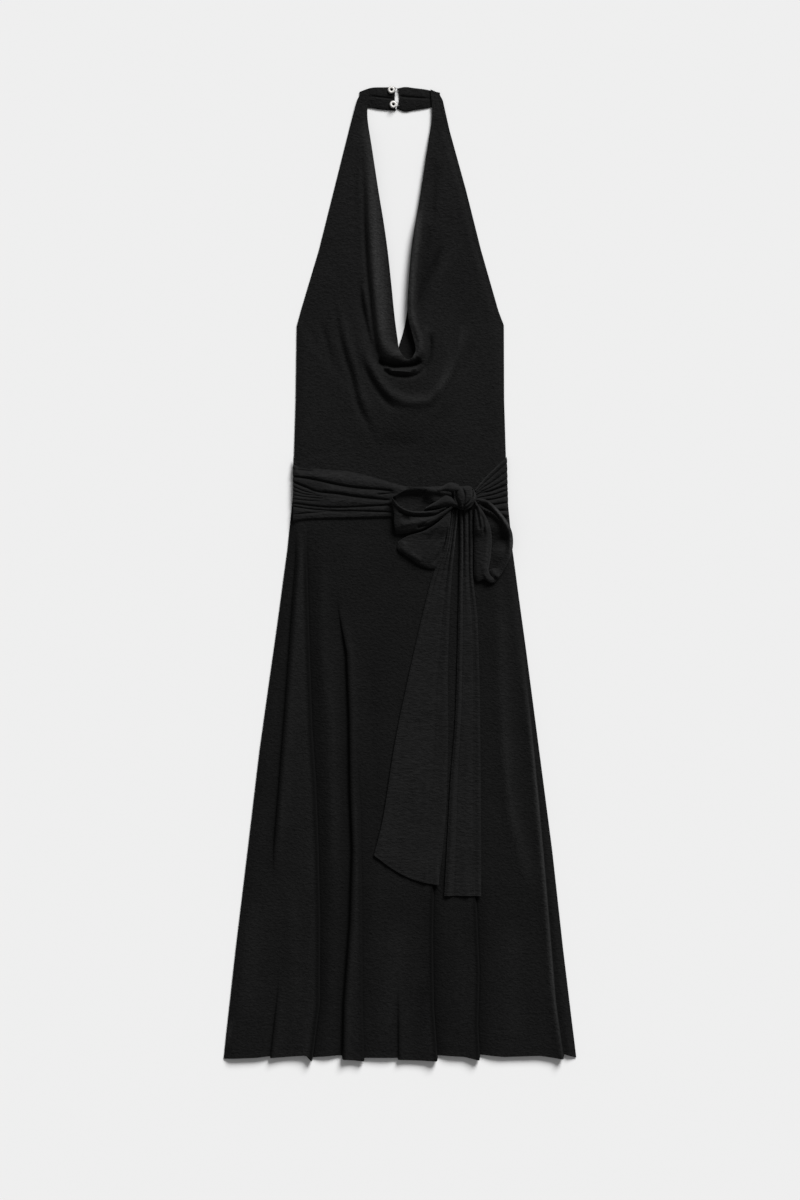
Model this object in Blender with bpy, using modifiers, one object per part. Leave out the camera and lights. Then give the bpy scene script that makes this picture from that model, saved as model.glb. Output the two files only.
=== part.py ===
"""A black crepe halter dress, laid flat on its back with its front up.

All sizes are in millimetres and become metres when a mesh is made. +X runs to the
right of the laid dress, +Y runs to the neck and +Z points up from the surface.
The origin lies under the middle of the dress, on the surface.
"""

import math
from typing import Callable, NamedTuple

import bmesh
import bpy
import numpy as np
from mathutils import Vector

# Driving sizes

MM = 0.001
WALL = 1.2
GAP = 0.3
NECK_BOTTOM = 293.4
WAIST = 108.0
HEM = -665.0
NECKLINE_MIDDLE = 13.0
BAND_THICKNESS = 3.0
SASH_HEIGHT = 4.6
BUTTON_RADIUS = 4.65
LOOP_THREAD = 0.7

BACK_TOP = WALL
FRONT_BASE = BACK_TOP + GAP
FRONT_TOP = FRONT_BASE + WALL
TRIM_BASE = FRONT_TOP + GAP
BOW_BASE = TRIM_BASE + SASH_HEIGHT + 1.3 * WALL + GAP


class Finish(NamedTuple):
    """A material: its colour in linear values, its roughness and its metallic value."""

    name: str
    colour: tuple
    roughness: float
    metallic: float


CREPE = Finish("black_crepe", (0.012, 0.012, 0.013, 1.0), 0.85, 0.0)
SASH_CREPE = Finish("sash_crepe", (0.015, 0.015, 0.016, 1.0), 0.80, 0.0)
BUTTON_FACE = Finish("button_plastic", (0.75, 0.74, 0.72, 1.0), 0.30, 0.0)
THREAD = Finish("loop_thread", (0.60, 0.58, 0.55, 1.0), 0.70, 0.0)


# Outlines

class Side(NamedTuple):
    """The side edges of the dress at one height."""

    y: float
    left: float
    right: float


ARMHOLE_CORNER = Side(341.4, -140.8, 143.2)
HALTER_SIDES = (
    Side(660.5, -53.0, 53.8),
    Side(650.6, -58.4, 59.4),
    Side(609.4, -69.4, 68.7),
    Side(526.9, -90.0, 91.4),
    Side(444.5, -110.6, 112.0),
    Side(362.0, -135.3, 135.6),
    ARMHOLE_CORNER,
)
BODICE_SIDES = (
    ARMHOLE_CORNER,
    Side(238.0, -142.2, 143.6),
    Side(WAIST + GAP, -146.2, 147.6),
)
SKIRT_SIDES = (
    Side(WAIST, -146.3, 147.7),
    Side(35.0, -153.2, 154.6),
    Side(-105.0, -172.4, 173.8),
    Side(-242.5, -191.7, 191.7),
    Side(-380.0, -208.0, 209.5),
    Side(-517.0, -224.6, 224.6),
    Side(HEM, -241.1, 242.5),
)

# The neckline of each half, from the top of the strap to the lowest point of the V
NECKLINE_LEFT = (
    (-42.5, 666.5), (-44.0, 641.0), (-43.5, 621.0), (-39.0, 589.0), (-29.5, 527.0),
    (-16.5, 445.0), (-7.2, 362.0), (-2.0, 318.0), (4.8, 300.0), (13.0, NECK_BOTTOM),
)
NECKLINE_RIGHT = (
    (42.5, 665.0), (44.5, 641.0), (44.0, 621.0), (39.0, 589.0), (29.5, 527.0),
    (16.5, 445.0), (13.0, 395.0), (17.0, 341.0), (22.3, 307.0), (13.0, NECK_BOTTOM),
)
# The edge of the facing that borders the opening, from the U up the right of the V
FACING_EDGE = ((4.0, 301.0), (0.2, 314.0), (4.0, 341.0), (7.2, 362.0), (11.0, 392.0))
FACING_WIDTH = 19.0
FACING_WALL = 1.0


# Folds

class Drape(NamedTuple):
    """A fold of the bodice along a curve: height is positive on a ridge."""

    path: tuple
    width: float
    height: float


COWL_FOLDS = (
    Drape(((-41, 600), (-37, 440), (-28, 365), (-14, 308), (8, 300)), 9.0, 6.5),
    Drape(((-50, 600), (-46, 450), (-39, 376), (-31, 318), (-22, 289), (14, 285), (28, 296)), 4.5, -7.0),
    Drape(((-31, 292), (-12, 279), (12, 277), (29, 286)), 4.0, 3.5),
    Drape(((-54, 403), (-47, 352), (-35, 313), (-25, 284), (-8, 273), (12, 270), (31, 277), (42, 300), (42, 328)), 3.8, -4.5),
    Drape(((-60, 380), (-45, 307), (-32, 281), (-18, 260), (0, 243), (17, 237), (45, 239), (68, 259), (82, 297), (90, 345)), 8.0, 6.5),
    Drape(((-46, 291), (-38, 270), (-22, 246), (0, 229), (18, 222), (39, 223), (60, 247), (76, 280), (85, 316)), 4.5, -5.0),
    Drape(((-84, 392), (-71, 330), (-56, 272), (-40, 222), (-18, 186), (10, 174), (44, 196), (70, 228), (95, 268)), 11.0, 4.5),
    Drape(((-92, 383), (-80, 330), (-66, 272), (-50, 214), (-31, 183), (-20, 170)), 4.5, -5.0),
    Drape(((-109, 348), (-98, 310), (-92, 277)), 4.5, -2.5),
    Drape(((57, 458), (45, 420), (30, 384), (20, 360)), 4.5, -3.5),
    Drape(((66, 355), (62, 328), (55, 285)), 6.0, 2.5),
    Drape(((56, 211), (47, 200), (38, 188)), 5.0, -2.5),
    Drape(((27, 440), (20, 395), (26, 345), (31, 312), (24, 292)), 4.5, 4.0),
)
COWL_SWELL_HEIGHT = 8.5
COWL_SWELL_CENTRE = (4.0, 270.0)
COWL_SWELL_SPREAD = (78.0, 92.0)
STRAP_SWELL = 2.2


class Pleat(NamedTuple):
    """A fold of the skirt: its edge at each height, its size, and how far its edge leans over."""

    path: tuple
    width: float
    height: float
    lean: float
    fade_in: tuple
    fade_out: tuple


NEVER = (-2000.0, -2001.0)
SKIRT_PLEATS = (
    Pleat(((-10, -137), (-156, -143), (-302, -152), (-420, -158)), 9, 5.5, 0, (45, -30), (-330, -420)),
    Pleat(((-10, -125), (-170, -121.6), (-335, -113), (-500, -113), (-665, -113)), 10, 8.5, 13.5, (60, -40), NEVER),
    Pleat(((-14, -86), (-146, -72), (-288, -70.5), (-453, -73), (-665, -76.5)), 10, 8.5, -13.5, (60, -40), NEVER),
    Pleat(((-245, -53), (-453, -52), (-665, -50)), 8, 3.5, 0, (-200, -290), (-540, -650)),
    Pleat(((-594, -2), (-665, -1.5)), 8, 3.0, 4, (-540, -620), NEVER),
    Pleat(((-425, 46.7), (-500, 44.4), (-594, 46.7), (-665, 51.5)), 10, 8.0, 13.5, (-380, -440), NEVER),
    Pleat(((-458, 103), (-561, 109.5), (-665, 104.7)), 9, 7.0, -12, (-400, -470), NEVER),
    Pleat(((-24, 136.3), (-170, 137.8), (-288, 150.5), (-392, 168), (-500, 186)), 8, 4.5, 0, (20, -60), (-400, -520)),
    Pleat(((-123, 169), (-288, 185.9), (-453, 202.4), (-665, 222.7)), 8, 7.0, 9, (-70, -190), NEVER),
)
HEM_RISE = 5.0
HEM_DROP = 4.0


class Rib(NamedTuple):
    """A pleat along the sash or a tail: its place across at the start and end, and its size."""

    start: float
    end: float
    width: float
    height: float


SASH_LEFT_RIBS = (
    Rib(0.10, 0.08, 0.050, 0.70),
    Rib(0.27, 0.26, 0.055, 0.80),
    Rib(0.43, 0.44, 0.060, 1.00),
    Rib(0.56, 0.60, 0.050, 0.75),
    Rib(0.69, 0.75, 0.050, 0.95),
    Rib(0.86, 0.90, 0.060, 0.85),
)
SASH_RIGHT_RIBS = 9
TAIL_LEFT_RIBS = (
    Rib(0.14, 0.10, 0.07, 1.0),
    Rib(0.38, 0.30, 0.08, 0.8),
    Rib(0.62, 0.62, 0.07, 1.0),
    Rib(0.86, 0.90, 0.07, 0.9),
)
TAIL_RIGHT_RIBS = (
    Rib(0.12, 0.10, 0.09, 1.0),
    Rib(0.46, 0.50, 0.10, 0.8),
    Rib(0.84, 0.88, 0.09, 1.0),
)
TAIL_PLEAT_HEIGHT = 4.5


class Strip(NamedTuple):
    """A strip of cloth between two edges, each from its start to its end."""

    left: tuple
    right: tuple


SASH_LEFT = Strip(
    left=((-145.8, 70), (-127, 73.5), (-88.6, 74.9), (-40.5, 76.3), (-10, 77.6), (25, 79), (52, 85), (70.2, 96)),
    right=((-145.8, 160), (-137, 146), (-109, 143.6), (-65, 139.5), (-26.8, 129.8), (7.6, 120), (44.7, 119.5), (70.2, 121)),
)
SASH_RIGHT = Strip(
    left=((104.4, 92), (118, 84), (149.2, 78)),
    right=((104.4, 115), (113.4, 126), (124.3, 138), (147.2, 160)),
)
TAIL_LEFT = Strip(
    left=((70, 87.6), (60, 39), (42.5, -3), (32.3, -51.5), (10.3, -151.8), (-6.2, -232.9), (-22, -333), (-35, -386)),
    right=((80.5, 87.6), (75, 39), (71, -10), (68.4, -60), (66, -139), (66.5, -230), (63.3, -333), (53.5, -426.6)),
)
TAIL_RIGHT = Strip(
    left=((82.8, 87.6), (83, 39), (82, -10), (80, -100), (76.8, -200), (70.5, -280), (66, -362), (61.6, -441.7)),
    right=((100, 87.6), (100, 39), (100.4, -4), (106.5, -60), (109.2, -139.5), (110.6, -220.5), (111.5, -341), (112, -441.7)),
)
TAIL_LEFT_POINT = 9.0


class Turn(NamedTuple):
    """A point of a loop's section: its reach from the knot, its rise, and how far it is the front."""

    reach: float
    rise: float
    front: float


LOOP_SECTION = (
    Turn(0.00, 0.00, 0.0), Turn(0.35, 0.00, 0.0), Turn(0.70, 0.00, 0.0), Turn(0.90, 0.05, 0.1),
    Turn(0.985, 0.25, 0.35), Turn(1.00, 0.50, 0.6), Turn(0.95, 0.78, 0.9), Turn(0.80, 0.97, 1.0),
    Turn(0.50, 1.00, 1.0), Turn(0.20, 0.85, 1.0), Turn(0.00, 0.62, 1.0),
)


class Loop(NamedTuple):
    """A loop of the bow: the edges of its back and its front, and its height."""

    name: str
    back: Strip
    front: Strip
    height: float
    edge_lift: float
    creases: tuple


LOOP_LEFT_UPPER = Loop(
    name="bow_loop_left_upper",
    back=Strip(left=((70, 117), (58, 114), (43, 118), (8, 118), (-11.7, 106)),
               right=((70, 98), (56, 78), (28, 61.5), (8, 58), (-7.5, 57))),
    front=Strip(left=((70, 100), (56, 92), (28, 86), (8, 85), (-11.7, 106)),
                right=((70, 90), (55, 76.5), (28, 60.5), (8, 57.5), (-7.5, 57))),
    height=13.0,
    edge_lift=0.35,
    creases=(),
)
LOOP_LEFT_LOWER = Loop(
    name="bow_loop_left_lower",
    back=Strip(left=((65, 82), (39, 64), (12, 52), (-2, 42)),
               right=((67.5, 83), (58.5, 60), (52, 30), (44.5, 9))),
    front=Strip(left=((65, 82), (39, 64.5), (12, 52.5), (-2, 42)),
                right=((67.5, 83), (59, 60), (52.5, 30), (44.5, 9))),
    height=12.0,
    edge_lift=0.0,
    creases=(Drape(((64, 74), (57, 42), (46, 15)), 4.0, -3.5),),
)
LOOP_RIGHT = Loop(
    name="bow_loop_right",
    back=Strip(left=((105, 94), (102, 70), (101.6, 40), (101.6, -3)),
               right=((105.5, 103), (127, 93), (144, 70), (152, 42), (149, 12), (141, -5))),
    front=Strip(left=((105, 94), (102, 70), (101.6, 40), (101.6, -3)),
                right=((105.5, 103), (127, 93.5), (144, 71), (153, 42), (150, 12), (141, -5))),
    height=15.0,
    edge_lift=0.0,
    creases=(
        Drape(((105, 91), (111, 77), (124, 73), (140, 61)), 4.0, -5.0),
        Drape(((124, 60), (124, 30), (121.6, 4)), 4.0, -3.5),
    ),
)

KNOT_CENTRE = (87.4, 104.6)
KNOT_SIZE = (32.0, 31.6, 26.0)
KNOT_GROOVES = 4
KNOT_GROOVE_DEPTH = 0.07

BAND_LEFT = Strip(
    left=((-55.0, 641.5), (-40.0, 640.0), (-24.0, 637.8), (-8.2, 635.5)),
    right=((-55.0, 662.0), (-40.0, 667.2), (-24.0, 668.0), (-6.4, 668.0)),
)
BAND_RIGHT = Strip(
    left=((-0.6, 637.5), (7.0, 635.6), (20.0, 637.2), (36.0, 639.6), (55.5, 642.5)),
    right=((-0.6, 667.2), (8.0, 668.2), (20.0, 667.0), (36.0, 665.0), (55.5, 661.0)),
)
BUTTON_PLACES = {"button_upper": (-11.0, 664.4), "button_lower": (-8.4, 644.4)}
LOOP_ANCHOR_X = 3.0


# Helpers

collection = bpy.data.collections.new("halter_dress")


def clear_scene() -> None:
    """Remove every object that the file opens with."""
    for item in list(bpy.data.objects):
        bpy.data.objects.remove(item, do_unlink=True)


def make_material(finish: Finish):
    """Return the material of a finish, made once."""
    found = bpy.data.materials.get(finish.name)
    if found:
        return found
    material = bpy.data.materials.new(finish.name)
    material.use_nodes = True
    shader = material.node_tree.nodes["Principled BSDF"]
    shader.inputs["Base Color"].default_value = finish.colour
    shader.inputs["Roughness"].default_value = finish.roughness
    shader.inputs["Metallic"].default_value = finish.metallic
    return material


def add_object(name: str, mesh, finish: Finish):
    """Put a mesh in the dress's collection as the named piece."""
    piece = bpy.data.objects.new(name, mesh)
    mesh.materials.append(make_material(finish))
    mesh.shade_smooth()
    collection.objects.link(piece)
    return piece


def thicken(piece, wall: float):
    """Give an open sheet its wall, outwards along its normals."""
    solid = piece.modifiers.new("wall", "SOLIDIFY")
    solid.thickness = wall * MM
    solid.offset = 1.0
    solid.use_even_offset = True
    solid.use_quality_normals = True
    return piece


def add_grid(target, columns: int, rows: int, place: Callable) -> None:
    """Add a grid to a bmesh and move each of its points to place(u, v)."""
    made = bmesh.ops.create_grid(target, x_segments=columns, y_segments=rows, size=0.5)
    for vertex in made["verts"]:
        u = round((vertex.co.x + 0.5) * columns) / columns
        v = round((vertex.co.y + 0.5) * rows) / rows
        vertex.co = Vector(place(u, v)) * MM


def sheet(name: str, columns: int, rows: int, place: Callable, finish: Finish, wall: float = WALL):
    """Make a cloth piece whose underside is place(u, v), with its wall above it."""
    build = bmesh.new()
    add_grid(build, columns, rows, place)
    mesh = bpy.data.meshes.new(name)
    build.to_mesh(mesh)
    build.free()
    return thicken(add_object(name, mesh, finish), wall)


def between(low: float, high: float, share: float) -> float:
    """Return the value that lies a share of the way from low to high."""
    return low + (high - low) * share


def ramp(value: float, start: float, end: float) -> float:
    """Return 0 at start and 1 at end, with a soft rise between them."""
    share = min(1.0, max(0.0, (value - start) / (end - start)))
    return share * share * (3.0 - 2.0 * share)


def bell(distance: float, width: float) -> float:
    """Return a soft bump, 1 at no distance."""
    return math.exp(-((distance / width) ** 2))


def along(points: tuple, share: float) -> tuple:
    """Return the point a share of the way along a smooth curve through the given points."""
    place = share * (len(points) - 1)
    index = min(int(place), len(points) - 2)
    step = place - index
    before = points[max(index - 1, 0)]
    start = points[index]
    end = points[index + 1]
    after = points[min(index + 2, len(points) - 1)]
    result = []
    for a, b, c, d in zip(before, start, end, after):
        slope_in = (c - a) / 2.0
        slope_out = (d - b) / 2.0
        result.append(
            b * (1 + 2 * step) * (1 - step) ** 2 + slope_in * step * (1 - step) ** 2
            + c * step * step * (3 - 2 * step) - slope_out * step * step * (1 - step)
        )
    return tuple(result)


def side_at(sides: tuple, y: float) -> Side:
    """Return the side edges at a height, from a table that runs down the dress."""
    heights = [row.y for row in reversed(sides)]
    left = float(np.interp(y, heights, [row.left for row in reversed(sides)]))
    right = float(np.interp(y, heights, [row.right for row in reversed(sides)]))
    return Side(y, left, right)


def fold_lines(folds: tuple) -> list:
    """Return each fold with its curve as an array of points."""
    steps = 28
    return [(fold, np.array([along(fold.path, i / steps) for i in range(steps + 1)])) for fold in folds]


def fold_height(lines: list, x: float, y: float) -> float:
    """Return the summed height of the folds at a place, each fading beyond its ends."""
    total = 0.0
    for fold, line in lines:
        gap = np.hypot(line[:, 0] - x, line[:, 1] - y)
        nearest = int(gap.argmin())
        end = min(nearest, len(line) - 1 - nearest) / (len(line) - 1)
        total += fold.height * bell(float(gap[nearest]), fold.width) * ramp(end, -0.02, 0.14)
    return total


COWL_LINES = fold_lines(COWL_FOLDS)


# Bodice

def back_edge(x: float) -> float:
    """Return the height of the low back's top edge."""
    return 208.0 + 120.0 * min(1.0, abs(x) / 142.0) ** 2.2


def bodice_lift(x: float, y: float) -> float:
    """Return how high the front bodice lies: over the back, on the surface, or over the band."""
    over_back = FRONT_BASE * (1.0 - ramp(y, back_edge(x) + 12.0, back_edge(x) + 36.0))
    over_band = (BAND_THICKNESS + GAP) * ramp(y, 606.0, 633.0)
    return over_back + over_band


def bodice_rise(x: float, y: float) -> float:
    """Return the height of the bodice's drape above what it lies on."""
    across = (x - COWL_SWELL_CENTRE[0]) / COWL_SWELL_SPREAD[0]
    down = (y - COWL_SWELL_CENTRE[1]) / COWL_SWELL_SPREAD[1]
    swell = COWL_SWELL_HEIGHT * math.exp(-(across ** 2 + down ** 2))
    swell *= ramp(y, WAIST + 36.0, WAIST + 110.0)
    strap = STRAP_SWELL * ramp(y, 330.0, 430.0) * (1.0 - ramp(y, 560.0, 640.0))
    folds = fold_height(COWL_LINES, x, y) * ramp(y, WAIST + 44.0, WAIST + 80.0)
    raised = swell + strap * 0.6 + folds
    return max(0.0, raised) + 0.35 * strap


def edge_rest(x: float, y: float) -> float:
    """Return 0 at the side edges, where the front lies on the back, and 1 inside them."""
    sides = side_at(HALTER_SIDES if y > ARMHOLE_CORNER.y else BODICE_SIDES, y)
    return ramp(min(x - sides.left, sides.right - x), 0.0, 14.0)


V_SHARE = 0.66


def half_bodice(neckline: tuple, side_name: str) -> Callable:
    """Return the place function of one half of the front, from the neckline to the side."""

    def outer(v: float) -> tuple:
        if v < 0.60:
            y = np.interp(v, (0.0, 0.035, 0.6), (HALTER_SIDES[0].y, HALTER_SIDES[1].y, ARMHOLE_CORNER.y))
            return getattr(side_at(HALTER_SIDES, float(y)), side_name), float(y)
        y = between(ARMHOLE_CORNER.y, WAIST + GAP, (v - 0.60) / 0.40)
        return getattr(side_at(BODICE_SIDES, y), side_name), y

    def inner(v: float) -> tuple:
        if v <= V_SHARE:
            return along(neckline, v / V_SHARE)
        drop = (v - V_SHARE) / (1.0 - V_SHARE)
        return between(NECKLINE_MIDDLE, 3.0, drop), between(NECK_BOTTOM, WAIST + GAP, drop)

    def place(u: float, v: float) -> tuple:
        share = u if side_name == "right" else 1.0 - u
        start = inner(1.0 - v)
        end = outer(1.0 - v)
        share = share ** 1.12
        x = between(start[0], end[0], share)
        y = between(start[1], end[1], share)
        lip = bell(share, 0.12) * ramp(y, 300.0, 340.0) * (1.0 - ramp(y, 560.0, 640.0))
        z = bodice_lift(x, y) + bodice_rise(x, y) * edge_rest(x, y) + 1.2 * lip
        return x, y, z

    return place


def build_front_bodice() -> None:
    """Build the front with both straps and the cowl, as two halves joined below the V."""
    build = bmesh.new()
    add_grid(build, 15, 34, half_bodice(NECKLINE_LEFT, "left"))
    add_grid(build, 15, 34, half_bodice(NECKLINE_RIGHT, "right"))
    bmesh.ops.remove_doubles(build, verts=build.verts, dist=0.02 * MM)
    mesh = bpy.data.meshes.new("front_bodice")
    build.to_mesh(mesh)
    build.free()
    thicken(add_object("front_bodice", mesh, CREPE), WALL)


def build_facing() -> None:
    """Build the stretch of facing that shows behind the rim of the U."""

    def place(u: float, v: float) -> tuple:
        edge = along(FACING_EDGE, v)
        x = edge[0] + u * FACING_WIDTH * (0.45 + 0.55 * (1.0 - v))
        y = edge[1] - 2.0 * u * (1.0 - v)
        under = bodice_lift(x, y) + bodice_rise(x, y) * edge_rest(x, y)
        return x, y, max(0.0, under - FACING_WALL - 3.0 * GAP) * ramp(u, 0.3, 0.95)

    sheet("cowl_facing", 5, 10, place, CREPE, FACING_WALL)


def build_back_bodice() -> None:
    """Build the low back, flat on the surface."""

    def place(u: float, v: float) -> tuple:
        bottom = WAIST + GAP
        sides = side_at(BODICE_SIDES, bottom)
        x = between(sides.left, sides.right, u)
        y = between(bottom, back_edge(x), v)
        sides = side_at(BODICE_SIDES, y)
        return between(sides.left, sides.right, u), y, 0.0

    sheet("back_bodice", 10, 3, place, CREPE)


# Skirt

def pleat_edge(pleat: Pleat, y: float) -> float:
    """Return the X of a pleat's edge at a height."""
    heights = [row[0] for row in reversed(pleat.path)]
    return float(np.interp(y, heights, [row[1] for row in reversed(pleat.path)]))


def pleat_strength(pleat: Pleat, y: float) -> float:
    """Return how far a pleat has risen at a height, from 0 to 1."""
    return ramp(-y, -pleat.fade_in[0], -pleat.fade_in[1]) * (1.0 - ramp(-y, -pleat.fade_out[0], -pleat.fade_out[1]))


def skirt_columns(y: float, count: int) -> list:
    """Return the X of the skirt's columns at a height, closer together at the pleats."""
    sides = side_at(SKIRT_SIDES, y)
    samples = np.linspace(sides.left, sides.right, 400)
    density = np.ones_like(samples)
    for pleat in SKIRT_PLEATS:
        centre = pleat_edge(pleat, y) - 0.75 * pleat.lean
        weight = 3.4 if pleat.lean else 1.8
        density += weight * np.exp(-(((samples - centre) / (1.7 * pleat.width)) ** 2))
    total = np.concatenate(([0.0], np.cumsum((density[1:] + density[:-1]) / 2.0)))
    return [float(x) for x in np.interp(np.linspace(0.0, total[-1], count + 1), total, samples)]


def skirt_place(x: float, y: float) -> tuple:
    """Return the shift, the height and the hem's rise of the front skirt at a place."""
    shift = 0.0
    height = 0.0
    hem = 0.0
    for pleat in SKIRT_PLEATS:
        strength = pleat_strength(pleat, y)
        distance = x - (pleat_edge(pleat, y) - 0.88 * pleat.lean)
        bump = bell(distance, pleat.width) * strength
        shift += pleat.lean * bump
        height += pleat.height * bump
        if pleat.lean:
            under = distance - math.copysign(1.15 * pleat.width, pleat.lean)
            hem += HEM_RISE * bump - HEM_DROP * bell(under, 0.7 * pleat.width) * strength
    return shift, height, hem


SKIRT_COLUMNS = 50
SKIRT_ROWS = 15


def build_front_skirt() -> None:
    """Build the front skirt with its pleats, each lying over its neighbour."""

    def place(u: float, v: float) -> tuple:
        y = between(HEM, WAIST, v)
        x = skirt_columns(y, SKIRT_COLUMNS)[round(u * SKIRT_COLUMNS)]
        shift, height, hem = skirt_place(x, y)
        sides = side_at(SKIRT_SIDES, y)
        rest = ramp(min(x - sides.left, sides.right - x), 0.0, 10.0)
        return x + shift * rest, y + hem * (1.0 - ramp(v, 0.0, 0.12)), FRONT_BASE + height * rest

    sheet("front_skirt", SKIRT_COLUMNS, SKIRT_ROWS, place, CREPE)


def build_back_skirt() -> None:
    """Build the back skirt, flat on the surface."""

    def place(u: float, v: float) -> tuple:
        y = between(HEM - 2.0, WAIST, v)
        sides = side_at(SKIRT_SIDES, y)
        return between(sides.left, sides.right, u), y, 0.0

    sheet("back_skirt", 3, 6, place, CREPE)


# Neckband

def build_neckbands() -> None:
    """Build the two halves of the folded neckband, flat on the surface."""
    for name, band in (("neckband_left", BAND_LEFT), ("neckband_right", BAND_RIGHT)):

        def place(u: float, v: float, band: Strip = band) -> tuple:
            lower = along(band.left, u)
            upper = along(band.right, u)
            return between(lower[0], upper[0], v), between(lower[1], upper[1], v), 0.0

        sheet(name, 8, 2, place, CREPE, BAND_THICKNESS)


def build_buttons() -> None:
    """Build the two ring buttons as turned solids on the left band's end."""
    profile = ((0.0, 1.3), (2.0, 1.3), (2.7, 2.3), (3.5, 2.6), (4.3, 2.2), (BUTTON_RADIUS, 1.3), (4.2, 0.3), (3.4, 0.0), (0.0, 0.0))
    for name, centre in BUTTON_PLACES.items():
        build = bmesh.new()
        points = [build.verts.new((radius * MM, 0.0, height * MM)) for radius, height in profile]
        for start, end in zip(points, points[1:]):
            build.edges.new((start, end))
        mesh = bpy.data.meshes.new(name)
        build.to_mesh(mesh)
        build.free()
        piece = add_object(name, mesh, BUTTON_FACE)
        piece.location = Vector((centre[0], centre[1], BAND_THICKNESS + GAP)) * MM
        screw = piece.modifiers.new("turn", "SCREW")
        screw.steps = 14
        screw.render_steps = 14
        screw.use_merge_vertices = True
        screw.merge_threshold = 0.00001


def build_button_loops() -> None:
    """Build the thread loops, from the right band's end round each button."""
    for name, button in (("button_loop_upper", "button_upper"), ("button_loop_lower", "button_lower")):
        centre = BUTTON_PLACES[button]
        radius = BUTTON_RADIUS + GAP + LOOP_THREAD + 0.1
        height = BAND_THICKNESS + GAP + LOOP_THREAD
        turn = [math.radians(60.0 + 30.0 * step) for step in range(9)]
        route = [(LOOP_ANCHOR_X, centre[1] + 2.4), (centre[0] + 0.88 * radius, centre[1] + 3.6)]
        route += [(centre[0] + radius * math.cos(a), centre[1] + radius * math.sin(a)) for a in turn]
        route += [(centre[0] + 0.88 * radius, centre[1] - 3.6), (LOOP_ANCHOR_X, centre[1] - 2.4)]
        curve = bpy.data.curves.new(name, "CURVE")
        curve.dimensions = "3D"
        curve.bevel_depth = LOOP_THREAD * MM
        curve.bevel_resolution = 2
        curve.use_fill_caps = True
        spline = curve.splines.new("POLY")
        spline.points.add(len(route) - 1)
        for point, (x, y) in zip(spline.points, route):
            point.co = (x * MM, y * MM, height * MM, 1.0)
        curve.materials.append(make_material(THREAD))
        collection.objects.link(bpy.data.objects.new(name, curve))


# Sash and bow

def strip_place(strip: Strip, u: float, v: float) -> tuple:
    """Return the point at u along a strip and v across it."""
    start = along(strip.left, u)
    end = along(strip.right, u)
    return between(start[0], end[0], v), between(start[1], end[1], v)


def rib_height(ribs: tuple, u: float, v: float) -> float:
    """Return the height of a strip's pleats at u along it and v across it, from 0 to 1."""
    total = 0.0
    for rib in ribs:
        total += rib.height * bell(v - between(rib.start, rib.end, u), rib.width)
    return min(1.0, total)


def build_sash() -> None:
    """Build the two stretches of the sash, from the side seams to the knot."""

    def place_left(u: float, v: float) -> tuple:
        x, y = strip_place(SASH_LEFT, u, v)
        swell = 0.25 + 0.75 * rib_height(SASH_LEFT_RIBS, u, v)
        rest = ramp(min(v, 1.0 - v), 0.0, 0.06)
        return x, y, TRIM_BASE + SASH_HEIGHT * swell * rest * ramp(u, -0.1, 0.1)

    def place_right(u: float, v: float) -> tuple:
        x, y = strip_place(SASH_RIGHT, u, v)
        wave = (0.5 - 0.5 * math.cos(2.0 * math.pi * SASH_RIGHT_RIBS * v)) * between(0.35, 0.75, u)
        rest = ramp(1.0 - u, -0.1, 0.12) * ramp(min(v, 1.0 - v), -0.02, 0.04)
        return x, y, TRIM_BASE + SASH_HEIGHT * (between(0.45, 0.15, u) + wave) * rest

    sheet("sash_left", 9, 24, place_left, SASH_CREPE)
    sheet("sash_right", 4, 4 * SASH_RIGHT_RIBS, place_right, SASH_CREPE)


def skirt_cover(x: float, y: float) -> float:
    """Return how far the skirt's pleats lift what lies on them."""
    cover = 0.0
    for pleat in SKIRT_PLEATS:
        distance = x - (pleat_edge(pleat, y) - 0.55 * pleat.lean)
        strength = max(pleat_strength(pleat, y), pleat_strength(pleat, y - 30.0))
        cover += 1.25 * pleat.height * bell(distance, 2.0 * pleat.width) * strength
    return cover


def build_tails() -> None:
    """Build the two tails, laid on the skirt's points and pleated from the knot."""
    for name, strip, ribs, point in (
        ("tail_left", TAIL_LEFT, TAIL_LEFT_RIBS, TAIL_LEFT_POINT),
        ("tail_right", TAIL_RIGHT, TAIL_RIGHT_RIBS, 0.0),
    ):

        def place(u: float, v: float, strip: Strip = strip, ribs: tuple = ribs, point: float = point) -> tuple:
            x, y = strip_place(strip, 1.0 - v, u)
            y -= point * math.sin(math.pi * u) * ramp(1.0 - v, 0.8, 1.0)
            fade = between(0.45, 1.25, ramp(v, 0.0, 0.85))
            pleats = TAIL_PLEAT_HEIGHT * fade * rib_height(ribs, 1.0 - v, u)
            return x, y, TRIM_BASE + 0.15 + skirt_cover(x, y) + pleats

        sheet(name, 14, 13, place, SASH_CREPE)


def bow_bed(y: float) -> float:
    """Return the height that the bow lies at: on the sash, and down on the skirt below it."""
    return between(TRIM_BASE + 0.2, BOW_BASE, ramp(y, 46.0, 66.0))


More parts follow.
